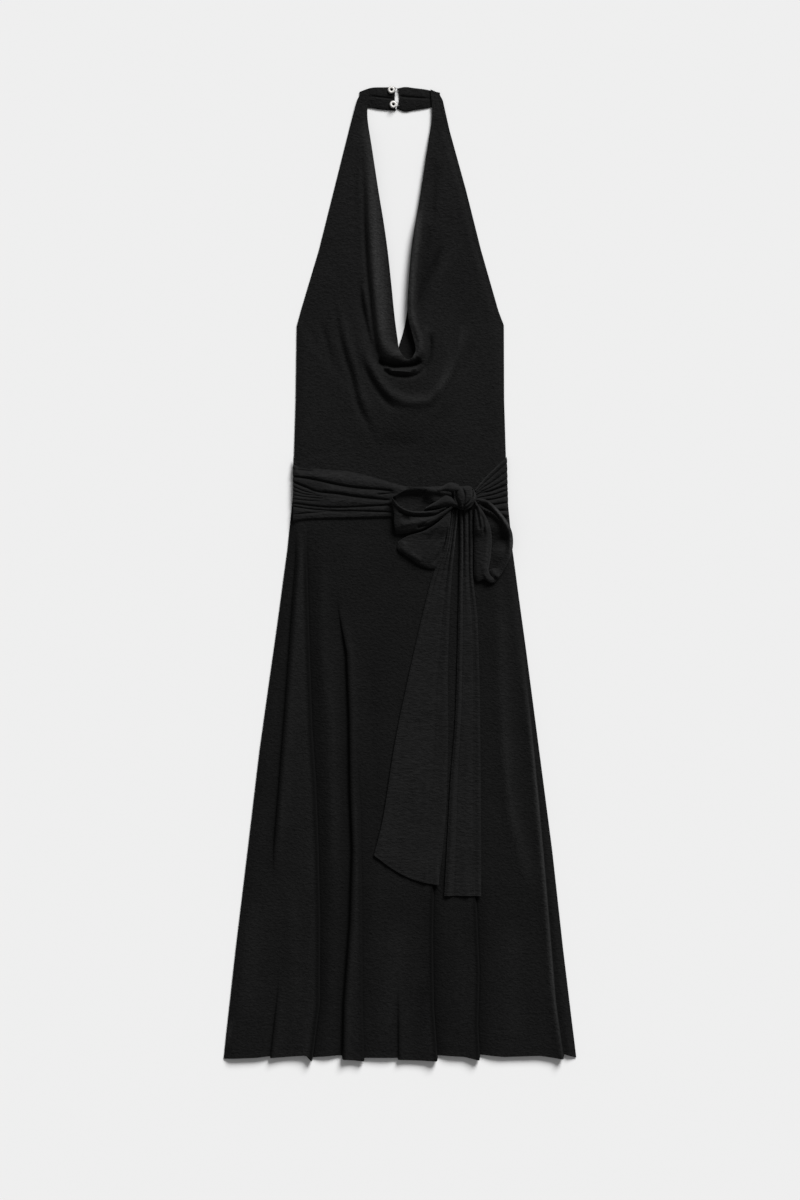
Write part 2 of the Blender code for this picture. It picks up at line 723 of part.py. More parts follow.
def build_loop(loop: Loop) -> None:
    """Build a loop of the bow: a strip that leaves the knot, turns at its tip and comes back."""
    lines = fold_lines(loop.creases)

    def place(u: float, v: float) -> tuple:
        reach, rise, front = along(LOOP_SECTION, u)
        reach = min(1.0, max(0.0, reach))
        rise = max(0.0, rise)
        behind = strip_place(loop.back, reach, v)
        ahead = strip_place(loop.front, reach, v)
        x = between(behind[0], ahead[0], front)
        y = between(behind[1], ahead[1], front)
        crown = 0.35 + 0.65 * math.sin(math.pi * min(1.0, max(0.0, v))) ** 0.7
        crown = max(crown, (0.35 + loop.edge_lift * ramp(v, 0.5, 0.0)) * 1.5 if loop.edge_lift else 0.0)
        height = rise * loop.height * crown
        height += front * fold_height(lines, x, y)
        return x, y, bow_bed(y) + max(height, rise * 3.4)

    sheet(loop.name, 18, 8, place, SASH_CREPE)


def build_knot() -> None:
    """Build the knot as a rounded, grooved solid that rests on the waist."""
    build = bmesh.new()
    bmesh.ops.create_uvsphere(build, u_segments=20, v_segments=10, radius=1.0)
    for vertex in build.verts:
        direction = vertex.co.normalized()
        square = 1.0 / max(1e-6, (abs(direction.x) ** 3 + abs(direction.y) ** 3 + abs(direction.z) ** 3)) ** (1.0 / 3.0)
        point = direction * square
        across = point.x * 0.8 + point.y * 0.6
        groove = 1.0 - KNOT_GROOVE_DEPTH * (0.5 + 0.5 * math.cos(across * KNOT_GROOVES * math.pi)) * ramp(point.z, -0.2, 0.5)
        x = KNOT_CENTRE[0] + point.x * groove * KNOT_SIZE[0] / 2.0
        y = KNOT_CENTRE[1] + point.y * groove * KNOT_SIZE[1] / 2.0
        z = TRIM_BASE + (max(point.z * groove, -0.8) + 0.8) * KNOT_SIZE[2] / 1.8
        vertex.co = Vector((x, y, z)) * MM
    mesh = bpy.data.meshes.new("bow_knot")
    build.to_mesh(mesh)
    build.free()
    add_object("bow_knot", mesh, SASH_CREPE)


def main() -> None:
    """Build the whole dress."""
    clear_scene()
    bpy.context.scene.collection.children.link(collection)
    build_back_bodice()
    build_back_skirt()
    build_front_bodice()
    build_facing()
    build_front_skirt()
    build_neckbands()
    build_buttons()
    build_button_loops()
    build_sash()
    build_tails()
    for loop in (LOOP_LEFT_UPPER, LOOP_LEFT_LOWER, LOOP_RIGHT):
        build_loop(loop)
    build_knot()


main()
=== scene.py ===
"""The looks of a black crepe halter dress that lies flat and is seen from straight above.

Sizes are in millimetres and become metres when a mesh is made. +X runs to the right
of the laid dress, +Y to its neck and +Z up from the surface it lies on.
"""

import logging
import math
from dataclasses import dataclass, field
from enum import Enum
from typing import Callable

import bpy
import numpy as np
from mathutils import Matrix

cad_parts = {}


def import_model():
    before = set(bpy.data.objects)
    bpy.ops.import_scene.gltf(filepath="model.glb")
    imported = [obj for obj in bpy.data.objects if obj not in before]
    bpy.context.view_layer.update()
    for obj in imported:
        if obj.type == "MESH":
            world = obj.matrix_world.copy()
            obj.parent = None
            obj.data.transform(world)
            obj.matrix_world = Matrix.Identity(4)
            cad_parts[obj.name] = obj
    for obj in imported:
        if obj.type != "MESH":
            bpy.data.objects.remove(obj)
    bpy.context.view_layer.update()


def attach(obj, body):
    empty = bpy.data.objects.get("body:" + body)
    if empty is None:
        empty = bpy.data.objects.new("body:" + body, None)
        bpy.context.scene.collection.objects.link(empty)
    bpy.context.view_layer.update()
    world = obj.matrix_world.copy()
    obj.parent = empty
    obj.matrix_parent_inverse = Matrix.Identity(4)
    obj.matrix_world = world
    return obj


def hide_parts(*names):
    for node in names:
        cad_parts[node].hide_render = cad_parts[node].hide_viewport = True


log = logging.getLogger("halter_dress")

MM = 0.001
WALL = 1.2
GAP = 0.3
SHELL = 0.9
SHELL_INSET = 0.15
NECK_BOTTOM = 293.4
WAIST = 108.0
HEM = -665.0
NECKLINE_MIDDLE = 13.0
BAND_THICKNESS = 3.0
SASH_HEIGHT = 4.6
FRONT_BASE = WALL + GAP
TRIM_BASE = FRONT_BASE + WALL + GAP
BOW_BASE = TRIM_BASE + SASH_HEIGHT + 1.3 * WALL + GAP

# Painted shade in creases and painted highlight on ridges, per millimetre of fold height.
PAINTED_FOLD_SHADING = 0.075
ARMHOLE = 341.4
BACK_INSET = 4.5
BACK_REST = 0.05
BACK_WALL = 1.0
THIN_WALL = 0.7
FACING_WALL = 0.8
BAND_WALL = 0.5
WELD = 0.03 * MM
FOLD_STEPS = 48
LATTICE = 256
SMOOTH_ANGLE = math.radians(60.0)
# Painted light: how far a painted highlight lightens the crepe, and the level that painted shade darkens it
# towards.
PAINTED_HIGHLIGHT_BOOST = 3.4
PAINTED_SHADE_LEVEL = 0.25

Array = np.ndarray
Colour = tuple[float, float, float, float]
Place = Callable[[Array, Array], tuple[Array, Array, Array]]


class Slot(Enum):
    """The record's material slots."""

    CREPE = "crepe"
    FACING = "facing_crepe"
    SKIRT = "skirt_crepe"
    SASH = "sash_crepe"
    BUTTON = "button"
    THREAD = "thread"


# Shader maths

class Socket:
    """A shader value that does sums: each operator adds a Math node."""

    def __init__(self, shader: "Shader", link: bpy.types.NodeSocket) -> None:
        """Wrap an output socket of a shader's node tree."""
        self.shader = shader
        self.link = link

    def _sum(self, operation: str, first: object, second: object) -> "Socket":
        """Add a Math node and return its result."""
        return self.shader.node("ShaderNodeMath", {"operation": operation}, {0: first, 1: second})

    def __add__(self, other: object) -> "Socket":
        """Return the sum."""
        return self._sum("ADD", self, other)

    def __radd__(self, other: object) -> "Socket":
        """Return the sum, from the right."""
        return self._sum("ADD", other, self)

    def __sub__(self, other: object) -> "Socket":
        """Return the difference."""
        return self._sum("SUBTRACT", self, other)

    def __rmul__(self, other: object) -> "Socket":
        """Return the product with a number on the left."""
        return self._sum("MULTIPLY", other, self)


class Shader:
    """A material's node tree, built from Python expressions."""

    def __init__(self, name: str) -> None:
        """Make a material with one Principled shader."""
        self.material = bpy.data.materials.new(name)
        self.material.use_nodes = True
        self.nodes = self.material.node_tree.nodes
        self.links = self.material.node_tree.links
        self.surface = self.nodes["Principled BSDF"]

    def node(self, kind: str, settings: dict, values: dict, output: object = 0) -> Socket:
        """Add any node.

        Args:
            kind: The node's type.
            settings: Its settings, which are set first.
            values: The value or the link of each input, by name or index.
            output: The output's name or index.

        Returns:
            The wrapped output.
        """
        made = self.nodes.new(kind)
        for key, value in settings.items():
            setattr(made, key, value)
        for key, value in values.items():
            self.feed(made.inputs[key], value)
        return Socket(self, made.outputs[output])

    def feed(self, target: bpy.types.NodeSocket, value: object) -> None:
        """Link a wrapped value to an input, or set it."""
        if isinstance(value, Socket):
            self.links.new(value.link, target)
        else:
            target.default_value = value

    def place(self, scale: tuple[float, float, float], turn: float = 0.0) -> Socket:
        """Return Object coordinates scaled by axis and turned about Z."""
        where = self.node("ShaderNodeTexCoord", {}, {}, "Object")
        values = {"Vector": where, "Scale": scale, "Rotation": (0.0, 0.0, turn)}
        return self.node("ShaderNodeMapping", {}, values, "Vector")

    def noise(self, where: Socket, scale: float, detail: float, distortion: float = 0.0) -> Socket:
        """Return a noise value at a place."""
        values = {"Vector": where, "Scale": scale, "Detail": detail, "Distortion": distortion}
        return self.node("ShaderNodeTexNoise", {"noise_dimensions": "3D"}, values, 0)

    def blend(self, share: Socket, low: object, high: object) -> Socket:
        """Return a colour between two, by a share that is held to 0 to 1."""
        settings = {"data_type": "RGBA", "blend_type": "MIX", "clamp_factor": True}
        return self.node("ShaderNodeMix", settings, {0: share, 6: low, 7: high}, 2)

    def spread(self, value: Socket, low: float, high: float) -> Socket:
        """Return a value's run from low to high as 0 to 1."""
        values = {"Value": value, "From Min": low, "From Max": high}
        return self.node("ShaderNodeMapRange", {"clamp": True}, values, 0)

    def bump(self, height: Socket, distance: float, strength: float) -> Socket:
        """Return a bumped normal."""
        values = {"Height": height, "Distance": distance, "Strength": strength}
        return self.node("ShaderNodeBump", {}, values, 0)


def grey(value: float, blue: float = 0.0) -> Colour:
    """Return a grey, a little bluer if asked."""
    return (value, value, value + blue, 1.0)


def scaled(colour: Colour, factor: float) -> Colour:
    """Return a colour made lighter or darker."""
    return tuple(factor * part for part in colour[:3]) + (1.0,)


@dataclass(frozen=True)
class Crepe:
    """Crinkled crepe: a matt black cloth with fine grain and crosswise crinkles, and painted highlight and
    painted shade from a point attribute.
    """

    name: str
    dark: Colour
    light: Colour
    crinkle: float
    stretch: float = 0.7
    turn: float = 0.0
    sheen: float = 0.03
    roughness: float = 0.9
    scales: tuple[float, float, float] = (330.0, 900.0, 16.0)
    shares: tuple[float, float, float] = (0.42, 0.44, 0.14)

    def make(self) -> bpy.types.Material:
        """Return the material."""
        shader = Shader(self.name)
        across = shader.place((self.stretch, 1.0, 1.0), self.turn)
        straight = shader.place((1.0, 1.0, 1.0))
        crinkles = shader.noise(across, self.scales[0], 4.0, 0.6)
        grain = shader.noise(straight, self.scales[1], 2.0)
        clouds = shader.noise(straight, self.scales[2], 2.0)
        total = self.shares[0] * crinkles + self.shares[1] * grain + self.shares[2] * clouds
        share = shader.spread(total, 0.34, 0.66)
        # The point attribute holds painted light: above 0 it blends towards raised, the colour of the
        # painted highlight, and below 0 the cloth's colour is darkened as painted shade.
        painted_light = shader.node("ShaderNodeAttribute", {"attribute_name": "painted_light"}, {}, "Fac")
        cloth_colour = shader.blend(share, self.dark, self.light)
        raised = shader.blend(share, self.light, scaled(self.light, PAINTED_HIGHLIGHT_BOOST))
        with_painted_shade = shader.blend(-1.0 * painted_light, cloth_colour, scaled(self.dark, PAINTED_SHADE_LEVEL))
        shader.feed(shader.surface.inputs["Base Color"], shader.blend(painted_light, with_painted_shade, raised))
        shader.feed(shader.surface.inputs["Roughness"], self.roughness + 0.12 * (grain - 0.5))
        height = 0.75 * crinkles + 0.25 * grain
        shader.feed(shader.surface.inputs["Normal"], shader.bump(height, self.crinkle * MM, 1.0))
        shader.surface.inputs["Specular IOR Level"].default_value = 0.12
        shader.surface.inputs["Sheen Weight"].default_value = self.sheen
        shader.surface.inputs["Sheen Roughness"].default_value = 0.45
        return shader.material


@dataclass(frozen=True)
class Pearl:
    """Pale moulded plastic with a soft gloss, as on the small ring buttons."""

    name: str
    dark: Colour
    light: Colour
    roughness: float = 0.28

    def make(self) -> bpy.types.Material:
        """Return the material."""
        shader = Shader(self.name)
        swirl = shader.noise(shader.place((1.0, 1.0, 1.0)), 420.0, 2.0, 1.2)
        share = shader.spread(swirl, 0.35, 0.65)
        shader.feed(shader.surface.inputs["Base Color"], shader.blend(share, self.dark, self.light))
        shader.feed(shader.surface.inputs["Roughness"], self.roughness + 0.1 * swirl)
        shader.surface.inputs["Coat Weight"].default_value = 0.3
        return shader.material


@dataclass(frozen=True)
class Twist:
    """Twisted thread: fine slanted plies across the cord."""

    name: str
    dark: Colour
    light: Colour

    def make(self) -> bpy.types.Material:
        """Return the material."""
        shader = Shader(self.name)
        where = shader.place((1.0, 1.0, 1.0), math.radians(35.0))
        values = {"Vector": where, "Scale": 260.0}
        plies = shader.node("ShaderNodeTexWave", {"bands_direction": "X"}, values, 1)
        shader.feed(shader.surface.inputs["Base Color"], shader.blend(plies, self.dark, self.light))
        shader.feed(shader.surface.inputs["Normal"], shader.bump(plies, 0.12 * MM, 0.8))
        shader.surface.inputs["Roughness"].default_value = 0.75
        return shader.material


@dataclass(frozen=True)
class Paper:
    """The plain pale surface that the dress lies on."""

    name: str
    colour: Colour

    def make(self) -> bpy.types.Material:
        """Return the material."""
        shader = Shader(self.name)
        shader.surface.inputs["Base Color"].default_value = self.colour
        shader.surface.inputs["Roughness"].default_value = 0.95
        shader.surface.inputs["Specular IOR Level"].default_value = 0.1
        return shader.material


# Curves and folds

def ramp(value: Array, start: float, end: float) -> Array:
    """Return 0 at start and 1 at end, with a soft rise between them."""
    share = np.clip((value - start) / (end - start), 0.0, 1.0)
    return share * share * (3.0 - 2.0 * share)


def bell(distance: Array, width: float) -> Array:
    """Return a soft bump, 1 at no distance."""
    return np.exp(-((distance / width) ** 2))


def mix(low: Array, high: Array, share: Array) -> Array:
    """Return the value a share of the way from low to high."""
    return low + (high - low) * share


def along(points: tuple, share: Array) -> Array:
    """Return points on a smooth curve.

    Args:
        points: The points that the curve goes through.
        share: How far along it to go, from 0 to 1.

    Returns:
        One row for each share.
    """
    table = np.asarray(points, dtype=float)
    place = np.clip(share, 0.0, 1.0) * (len(table) - 1)
    index = np.minimum(place.astype(int), len(table) - 2)
    step = (place - index)[..., None]
    before = table[np.maximum(index - 1, 0)]
    start = table[index]
    end = table[index + 1]
    after = table[np.minimum(index + 2, len(table) - 1)]
    slope_in = (end - before) / 2.0
    slope_out = (after - start) / 2.0
    return (
        start * (1.0 + 2.0 * step) * (1.0 - step) ** 2
        + slope_in * step * (1.0 - step) ** 2
        + end * step * step * (3.0 - 2.0 * step)
        - slope_out * step * step * (1.0 - step)
    )


class Ripple:
    """Seeded smooth noise over the plane, for the small uneven crinkles of crepe."""

    def __init__(self, seed: int) -> None:
        """Draw the lattice of values."""
        self.lattice = np.random.default_rng(seed).uniform(-1.0, 1.0, (LATTICE + 1, LATTICE + 1))

    def at(self, x: Array, y: Array) -> Array:
        """Return the noise at places counted in lattice steps."""
        column = np.floor(x).astype(int)
        row = np.floor(y).astype(int)
        across = x - column
        down = y - row
        across = across * across * (3.0 - 2.0 * across)
        down = down * down * (3.0 - 2.0 * down)
        left = column % LATTICE
        low = row % LATTICE
        near = mix(self.lattice[left, low], self.lattice[left + 1, low], across)
        far = mix(self.lattice[left, low + 1], self.lattice[left + 1, low + 1], across)
        return mix(near, far, down)


RIPPLE = Ripple(11)


def crinkle(x: Array, y: Array, length: float = 17.0, width: float = 6.0) -> Array:
    """Return the uneven crosswise crinkles of the crepe, from about -1 to 1."""
    coarse = RIPPLE.at(x / length + 40.0, y / width + 40.0)
    fine = RIPPLE.at(x / (0.45 * length) + 90.0, y / (0.5 * width) + 13.0)
    broad = RIPPLE.at(x / (3.4 * length) + 7.0, y / (4.5 * width) + 151.0)
    return 0.45 * coarse + 0.25 * fine + 0.6 * broad


@dataclass(frozen=True)
class Fold:
    """A fold along a curve: its height is positive on a ridge and negative in a crease."""

    path: tuple
    width: float
    height: float
    taper: float = 0.14

    def rise(self, x: Array, y: Array) -> Array:
        """Return the fold's height at places, fading towards its ends."""
        line = along(self.path, np.linspace(0.0, 1.0, FOLD_STEPS + 1))
        best = np.full(x.shape, np.inf)
        where = np.zeros(x.shape)
        for index in range(FOLD_STEPS):
            start = line[index]
            run = line[index + 1] - start
            length = float(run @ run)
            share = np.clip(((x - start[0]) * run[0] + (y - start[1]) * run[1]) / length, 0.0, 1.0)
            gap = np.hypot(x - start[0] - share * run[0], y - start[1] - share * run[1])
            nearer = gap < best
            best = np.where(nearer, gap, best)
            where = np.where(nearer, (index + share) / FOLD_STEPS, where)
        end = np.minimum(where, 1.0 - where)
        return self.height * bell(best, self.width) * ramp(end, -0.02, self.taper)


def folds_at(folds: tuple[Fold, ...], x: Array, y: Array) -> Array:
    """Return the summed height of several folds."""
    total = np.zeros(x.shape)
    for fold in folds:
        total += fold.rise(x, y)
    return total


@dataclass(frozen=True)
class Sides:
    """The side edges of a panel: rows of height, left X and right X, from top to bottom."""

    rows: tuple

    def edge(self, y: Array, column: int) -> Array:
        """Return the X of the left edge (column 1) or the right edge (column 2)."""
        table = np.asarray(self.rows[::-1], dtype=float)
        return np.interp(y, table[:, 0], table[:, column])

    def inside(self, x: Array, y: Array) -> Array:
        """Return how far places lie inside the nearer side edge."""
        return np.minimum(x - self.edge(y, 1), self.edge(y, 2) - x)


HALTER_SIDES = Sides((
    (660.5, -53, 53.8), (650.6, -58.4, 59.4), (609.4, -69.4, 68.7), (526.9, -90, 91.4),
    (444.5, -110.6, 112), (362, -135.3, 135.6), (ARMHOLE, -140.8, 143.2),
))
BODICE_SIDES = Sides(((ARMHOLE, -140.8, 143.2), (238.0, -142.2, 143.6), (WAIST + GAP, -146.2, 147.6)))
SKIRT_SIDES = Sides((
    (WAIST, -146.3, 147.7), (35.0, -153.2, 154.6), (-105.0, -172.4, 173.8), (-242.5, -191.7, 191.7),
    (-380, -208, 209.5), (-517, -224.6, 224.6), (HEM, -241.1, 242.5),
))


# Making pieces

def grid_piece(name: str, columns: int, rows: int) -> bpy.types.Object:
    """Add a flat grid one unit across, to be shaped by a formula."""
    bpy.ops.object.select_all(action="DESELECT")
    bpy.ops.mesh.primitive_grid_add(
        x_subdivisions=columns, y_subdivisions=rows, size=1.0, location=(0.0, 0.0, 0.0)
    )
    piece = bpy.context.object
    piece.name = name
    piece.data.name = name
    return piece


def points_of(piece: bpy.types.Object) -> Array:
    """Return a piece's points, a row for each."""
    flat = np.empty(len(piece.data.vertices) * 3)
    piece.data.vertices.foreach_get("co", flat)
    return flat.reshape(-1, 3)


def move_points(piece: bpy.types.Object, x: Array, y: Array, z: Array) -> None:
    """Move a piece's points to places in millimetres."""
    piece.data.vertices.foreach_set("co", (np.stack((x, y, z), axis=1) * MM).ravel())
    piece.data.update()


def shape_grid(piece: bpy.types.Object, place: Place) -> None:
    """Move each point of a grid to place(u, v), in millimetres."""
    points = points_of(piece)
    move_points(piece, *place(points[:, 0] + 0.5, points[:, 1] + 0.5))


def choose(piece: bpy.types.Object) -> None:
    """Select one piece alone and make it active."""
    bpy.ops.object.select_all(action="DESELECT")
    piece.select_set(True)
    bpy.context.view_layer.objects.active = piece


def weld(piece: bpy.types.Object, outwards: bool = False) -> None:
    """Join points that lie together, and turn the faces outwards if asked."""
    choose(piece)
    bpy.ops.object.mode_set(mode="EDIT")
    bpy.ops.mesh.select_all(action="SELECT")
    bpy.ops.mesh.remove_doubles(threshold=WELD)
    if outwards:
        bpy.ops.mesh.normals_make_consistent(inside=False)
    bpy.ops.object.mode_set(mode="OBJECT")


def wall(piece: bpy.types.Object, thickness: float) -> None:
    """Give an open sheet its wall and apply it."""
    choose(piece)
    solid = piece.modifiers.new("wall", "SOLIDIFY")
    solid.thickness = thickness * MM
    solid.offset = 1.0
    solid.use_even_offset = False
    solid.use_quality_normals = True
    bpy.ops.object.modifier_apply(modifier=solid.name)


def finish_piece(
    piece: bpy.types.Object, material: bpy.types.Material, nodes: tuple[str, ...]
) -> bpy.types.Object:
    """Dress a piece and put it in the frame.

    Args:
        piece: The finished mesh.
        material: Its material.
        nodes: The nodes that it stands for, if any.

    Returns:
        The piece.
    """
    choose(piece)
    bpy.ops.object.shade_smooth_by_angle(angle=SMOOTH_ANGLE)
    piece.data.materials.clear()
    piece.data.materials.append(material)
    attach(piece, "root")
    if nodes:
        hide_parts(*nodes)
    log.info("%s: %d faces", piece.name, len(piece.data.polygons))
    return piece


def set_painted_light(piece: bpy.types.Object, painted_light: Callable[[Array, Array], Array]) -> None:
    """Store the painted light at each point: painted highlight above 0, painted shade below 0."""
    points = points_of(piece) / MM
    layer = piece.data.attributes.new("painted_light", "FLOAT", "POINT")
    layer.data.foreach_set("value", painted_light(points[:, 0], points[:, 1]).astype(np.float32))


def cloth(
    name: str, columns: int, rows: int, place: Place, thickness: float = SHELL,
    painted_light: Callable[[Array, Array], Array] | None = None,
) -> bpy.types.Object:
    """Make a thin shell of cloth.

    Args:
        name: The piece's name.
        columns: How many faces it has along u.
        rows: How many faces it has along v.
        place: The place of its underside at u and v.
        thickness: Its wall.
        painted_light: Its painted highlight and painted shade, by X and Y.

    Returns:
        The piece.
    """
    piece = grid_piece(name, columns, rows)
    shape_grid(piece, place)
    if painted_light:
        set_painted_light(piece, painted_light)
    wall(piece, thickness)
    return piece


def back_panel(sides: Sides, u: Array, y: Array) -> tuple[Array, Array, Array]:
    """Return the underside of a plain back, just inside a panel's side edges."""
    left = sides.edge(y, 1) + BACK_INSET
    right = sides.edge(y, 2) - BACK_INSET
    return mix(left, right, u), y, np.full(u.shape, BACK_REST)


@dataclass(frozen=True)
class Strip:
    """A strip of cloth between two edges, each from its start to its end."""

    left: tuple
    right: tuple
    hollow: float = 0.0
    end_hollow: float = 0.0

    def point(self, u: Array, v: Array) -> tuple[Array, Array]:
        """Return the place at u along the strip and v across it."""
        start = along(self.left, u)
        end = along(self.right, u)
        inwards = np.sin(np.pi * v) * (self.hollow * (1.0 - u) ** 8 + self.end_hollow * u ** 8)
        return mix(start[..., 0], end[..., 0], v) + inwards, mix(start[..., 1], end[..., 1], v)


@dataclass(frozen=True)
class Rib:
    """A pleat or crease along a strip: its place across at the start, the middle and the end."""

    start: float
    middle: float
    end: float
    width: float
    height: float
    far: float = 1.0

    def rise(self, u: Array, v: Array) -> Array:
        """Return its height at u along the strip and v across it."""
        centre = np.interp(u, (0.0, 0.5, 1.0), (self.start, self.middle, self.end))
        return self.height * bell(v - centre, self.width)


# The bodice

@dataclass
class Bodice:
    """The front bodice with its straps and cowl, the facing behind its U and the low back."""

    neckline_left: tuple = (
        (-42.5, 666.5), (-44, 641), (-43.5, 621), (-39, 589), (-29.5, 527), (-22.5, 486),
        (-16.5, 445), (-11.4, 399), (-6.9, 354), (-3, 324), (-0.5, 307), (5.2, 297.6),
        (NECKLINE_MIDDLE, NECK_BOTTOM),
    )
    neckline_right: tuple = (
        (42.5, 665), (44.5, 641), (44, 621), (39, 589), (29.5, 527), (22.8, 486),
        (16.7, 445), (12.8, 399), (11.3, 358), (18, 328), (22.6, 309), (19, 298),
        (NECKLINE_MIDDLE, NECK_BOTTOM),
    )
    facing_left: tuple = (
        (2, 290), (-2.5, 301), (-0.3, 314), (4.6, 330), (8.6, 348), (11, 366), (13, 392),
    )
    facing_right: tuple = (
        (27, 290), (28, 301), (27, 314), (24, 330), (20, 348), (19, 366), (18, 392),
    )
    v_share: float = 0.66
    corner_share: float = 0.60
    swell_height: float = 8.5
    swell_centre: tuple[float, float] = (2.0, 280.0)
    swell_spread: tuple[float, float] = (88.0, 110.0)
    strap_swell: float = 2.4
    stitch_inset: float = 4.0
    band_lift: float = 0.9
    armhole_inset: float = 6.0
    seam_width: float = 0.9
    seam_depth: float = 0.3
    back_low: float = 208.0
    back_rise: float = 120.0
    back_half: float = 142.0
    columns: int = 100
    rows: int = 220
    # Painted light: highlights painted on the neckline's roll, its right lip, the U and the bottom of the V,
    # and shade painted in the hollows right of the lip (negative heights).
    painted_light_folds: tuple[Fold, ...] = (
        Fold(((-43, 610), (-38, 540), (-33, 470), (-30, 400), (-24, 345), (-17, 312)), 12, 0.72, 0.26),
        Fold(((32, 520), (24, 460), (17, 405), (15, 360), (21, 325), (24, 308), (14, 294), (4, 298)),
             4.4, 0.95, 0.12),
        Fold(((68, 318), (64, 285), (54, 256), (40, 240), (20, 236)), 7, 0.10, 0.3),
        Fold(((-10, 300), (-1, 303), (6, 296), (16, 293)), 2, 0.5, 0.2),
        Fold(((60, 480), (49, 437), (35, 402), (24, 374), (20, 352)), 6, -0.62, 0.3),
        Fold(((46, 332), (45, 305), (36, 288), (20, 280)), 6, -0.20, 0.35),
    )
    folds: tuple[Fold, ...] = (
        Fold(((-46, 625), (-42, 540), (-37, 450), (-32, 380), (-26, 325), (-12, 303), (8, 298)),
             11, 8, 0.1),
        Fold(((-52, 600), (-48, 520), (-46, 458), (-42, 403), (-36, 348), (-30, 308), (-23, 287)),
             4.2, -6.2, 0.35),
        Fold(((-30, 293), (-18, 287), (4, 285), (20, 287), (29, 294)), 4.6, -8.5, 0.1),
        Fold(((-22, 285), (-8, 279), (10, 277), (24, 282)), 2.6, 4, 0.1),
        Fold(((-24, 281), (-10, 273), (8, 270.5), (22, 272), (32, 280)), 2.4, -3.6, 0.15),
        Fold(((-55, 405), (-52, 375), (-45, 345), (-36, 314), (-27, 289)), 6, -4.6, 0.4),
        Fold(((-50, 400), (-46, 370), (-40, 335), (-33, 308)), 3, 2, 0.2),
        Fold(((-58, 340), (-46, 300), (-37, 280), (-24, 259), (-9, 245), (8, 237), (26, 236), (42, 240),
             (56, 257), (66, 287), (68, 318)), 7, 4.6, 0.22),
        Fold(((-52, 300), (-45, 281), (-37, 264), (-26, 248), (-12, 231), (2, 226)), 5, -3, 0.3),
        Fold(((89, 341), (82, 314), (70, 275), (58, 257), (45, 238)), 5.5, 3.6, 0.25),
        Fold(((84, 306), (74, 276), (62, 251), (48, 226)), 3.8, -3.2, 0.4),
        Fold(((-91, 383), (-83, 335), (-75, 300), (-66, 272), (-57, 233), (-45, 206), (-29, 171)),
             5, -3.4, 0.35),
        Fold(((-84, 380), (-76, 335), (-67, 300), (-58, 270), (-49, 236), (-36, 209)), 6.5, 2.6, 0.3),
        Fold(((-109, 350), (-99, 312), (-92, 277)), 4.5, -2, 0.4),
        Fold(((57, 450), (46, 420), (34, 393), (25, 372), (19, 356)), 4.4, -6.5, 0.35),
        Fold(((44, 480), (34, 440), (26, 405), (22, 372)), 7, -3.4, 0.3),
        Fold(((66, 440), (57, 415), (46, 390), (35, 362)), 8, 1.4, 0.35),
        Fold(((42, 330), (42, 308), (38, 289), (31, 275)), 4, -4, 0.22),
        Fold(((36, 340), (33, 318), (30, 298)), 4.5, 2, 0.25),
        Fold(((72, 238), (60, 216), (48, 200), (34, 184)), 7, -1.5, 0.45),
        Fold(((-30, 182), (0, 174), (32, 184)), 14, -2.2, 0.45),
        Fold(((50, 571), (46, 516), (43, 480)), 5, -1.8, 0.3),
        Fold(((25, 500), (20, 450), (17, 400), (18, 352), (26, 325), (27, 303), (18, 291)),
             4.6, 4.6, 0.12),
    )

    def back_edge(self, x: Array) -> Array:
        """Return the height of the low back's top edge."""
        return self.back_low + self.back_rise * np.minimum(1.0, np.abs(x) / self.back_half) ** 2.2

    def lift(self, x: Array, y: Array) -> Array:
        """Return how high the front lies: over the back, on the surface, or over the band."""
        edge = self.back_edge(x)
        lay = mix(0.1, 1.0, ramp(BODICE_SIDES.inside(x, y), -1.0, 7.0))
        over_back = FRONT_BASE * (1.0 - ramp(y - edge, 12.0, 36.0)) * lay
        return over_back + (self.band_lift + GAP) * ramp(y, 606.0, 633.0)

    def rise(self, x: Array, y: Array) -> Array:
        """Return the height of the drape above what the front lies on."""
        across = (x - self.swell_centre[0]) / self.swell_spread[0]
        down = (y - self.swell_centre[1]) / self.swell_spread[1]
        swell = self.swell_height * np.exp(-(across ** 2 + down ** 2)) * ramp(y, WAIST + 30.0, WAIST + 100.0)
        strap = self.strap_swell * ramp(y, 330.0, 430.0) * (1.0 - ramp(y, 560.0, 640.0))
        folds = folds_at(self.folds, x, y) * ramp(y, WAIST + 44.0, WAIST + 80.0)
        return np.maximum(0.0, swell + 0.6 * strap + folds + 1.2) + 0.35 * strap

    def painted_light(self, x: Array, y: Array) -> Array:
        """Return the painted light: painted highlights on the roll beside the neckline and on its right lip,
        lighter streaks on the straps, painted shade in the creases and painted highlight on the ridges.
        """
        streaks = 0.75 + 0.25 * RIPPLE.at(x / 2.2 + 60.0, y / 38.0 + 20.0)
        total = folds_at(self.painted_light_folds, x, y)
        straps = 0.10 * ramp(y, 400.0, 560.0) * (0.5 + 0.5 * RIPPLE.at(x / 3.0 + 30.0, y / 60.0 + 50.0))
        creases = 0.6 * PAINTED_FOLD_SHADING * folds_at(self.folds, x, y)
        return np.clip(total * streaks + straps + creases, -0.5, 1.0)

    def rest(self, x: Array, y: Array) -> Array:
        """Return 0 at the side edges and 1 inside them."""
        halter = HALTER_SIDES.inside(x, y)
        below = BODICE_SIDES.inside(x, y)
        return ramp(np.where(y > ARMHOLE, halter, below), 0.0, 14.0)

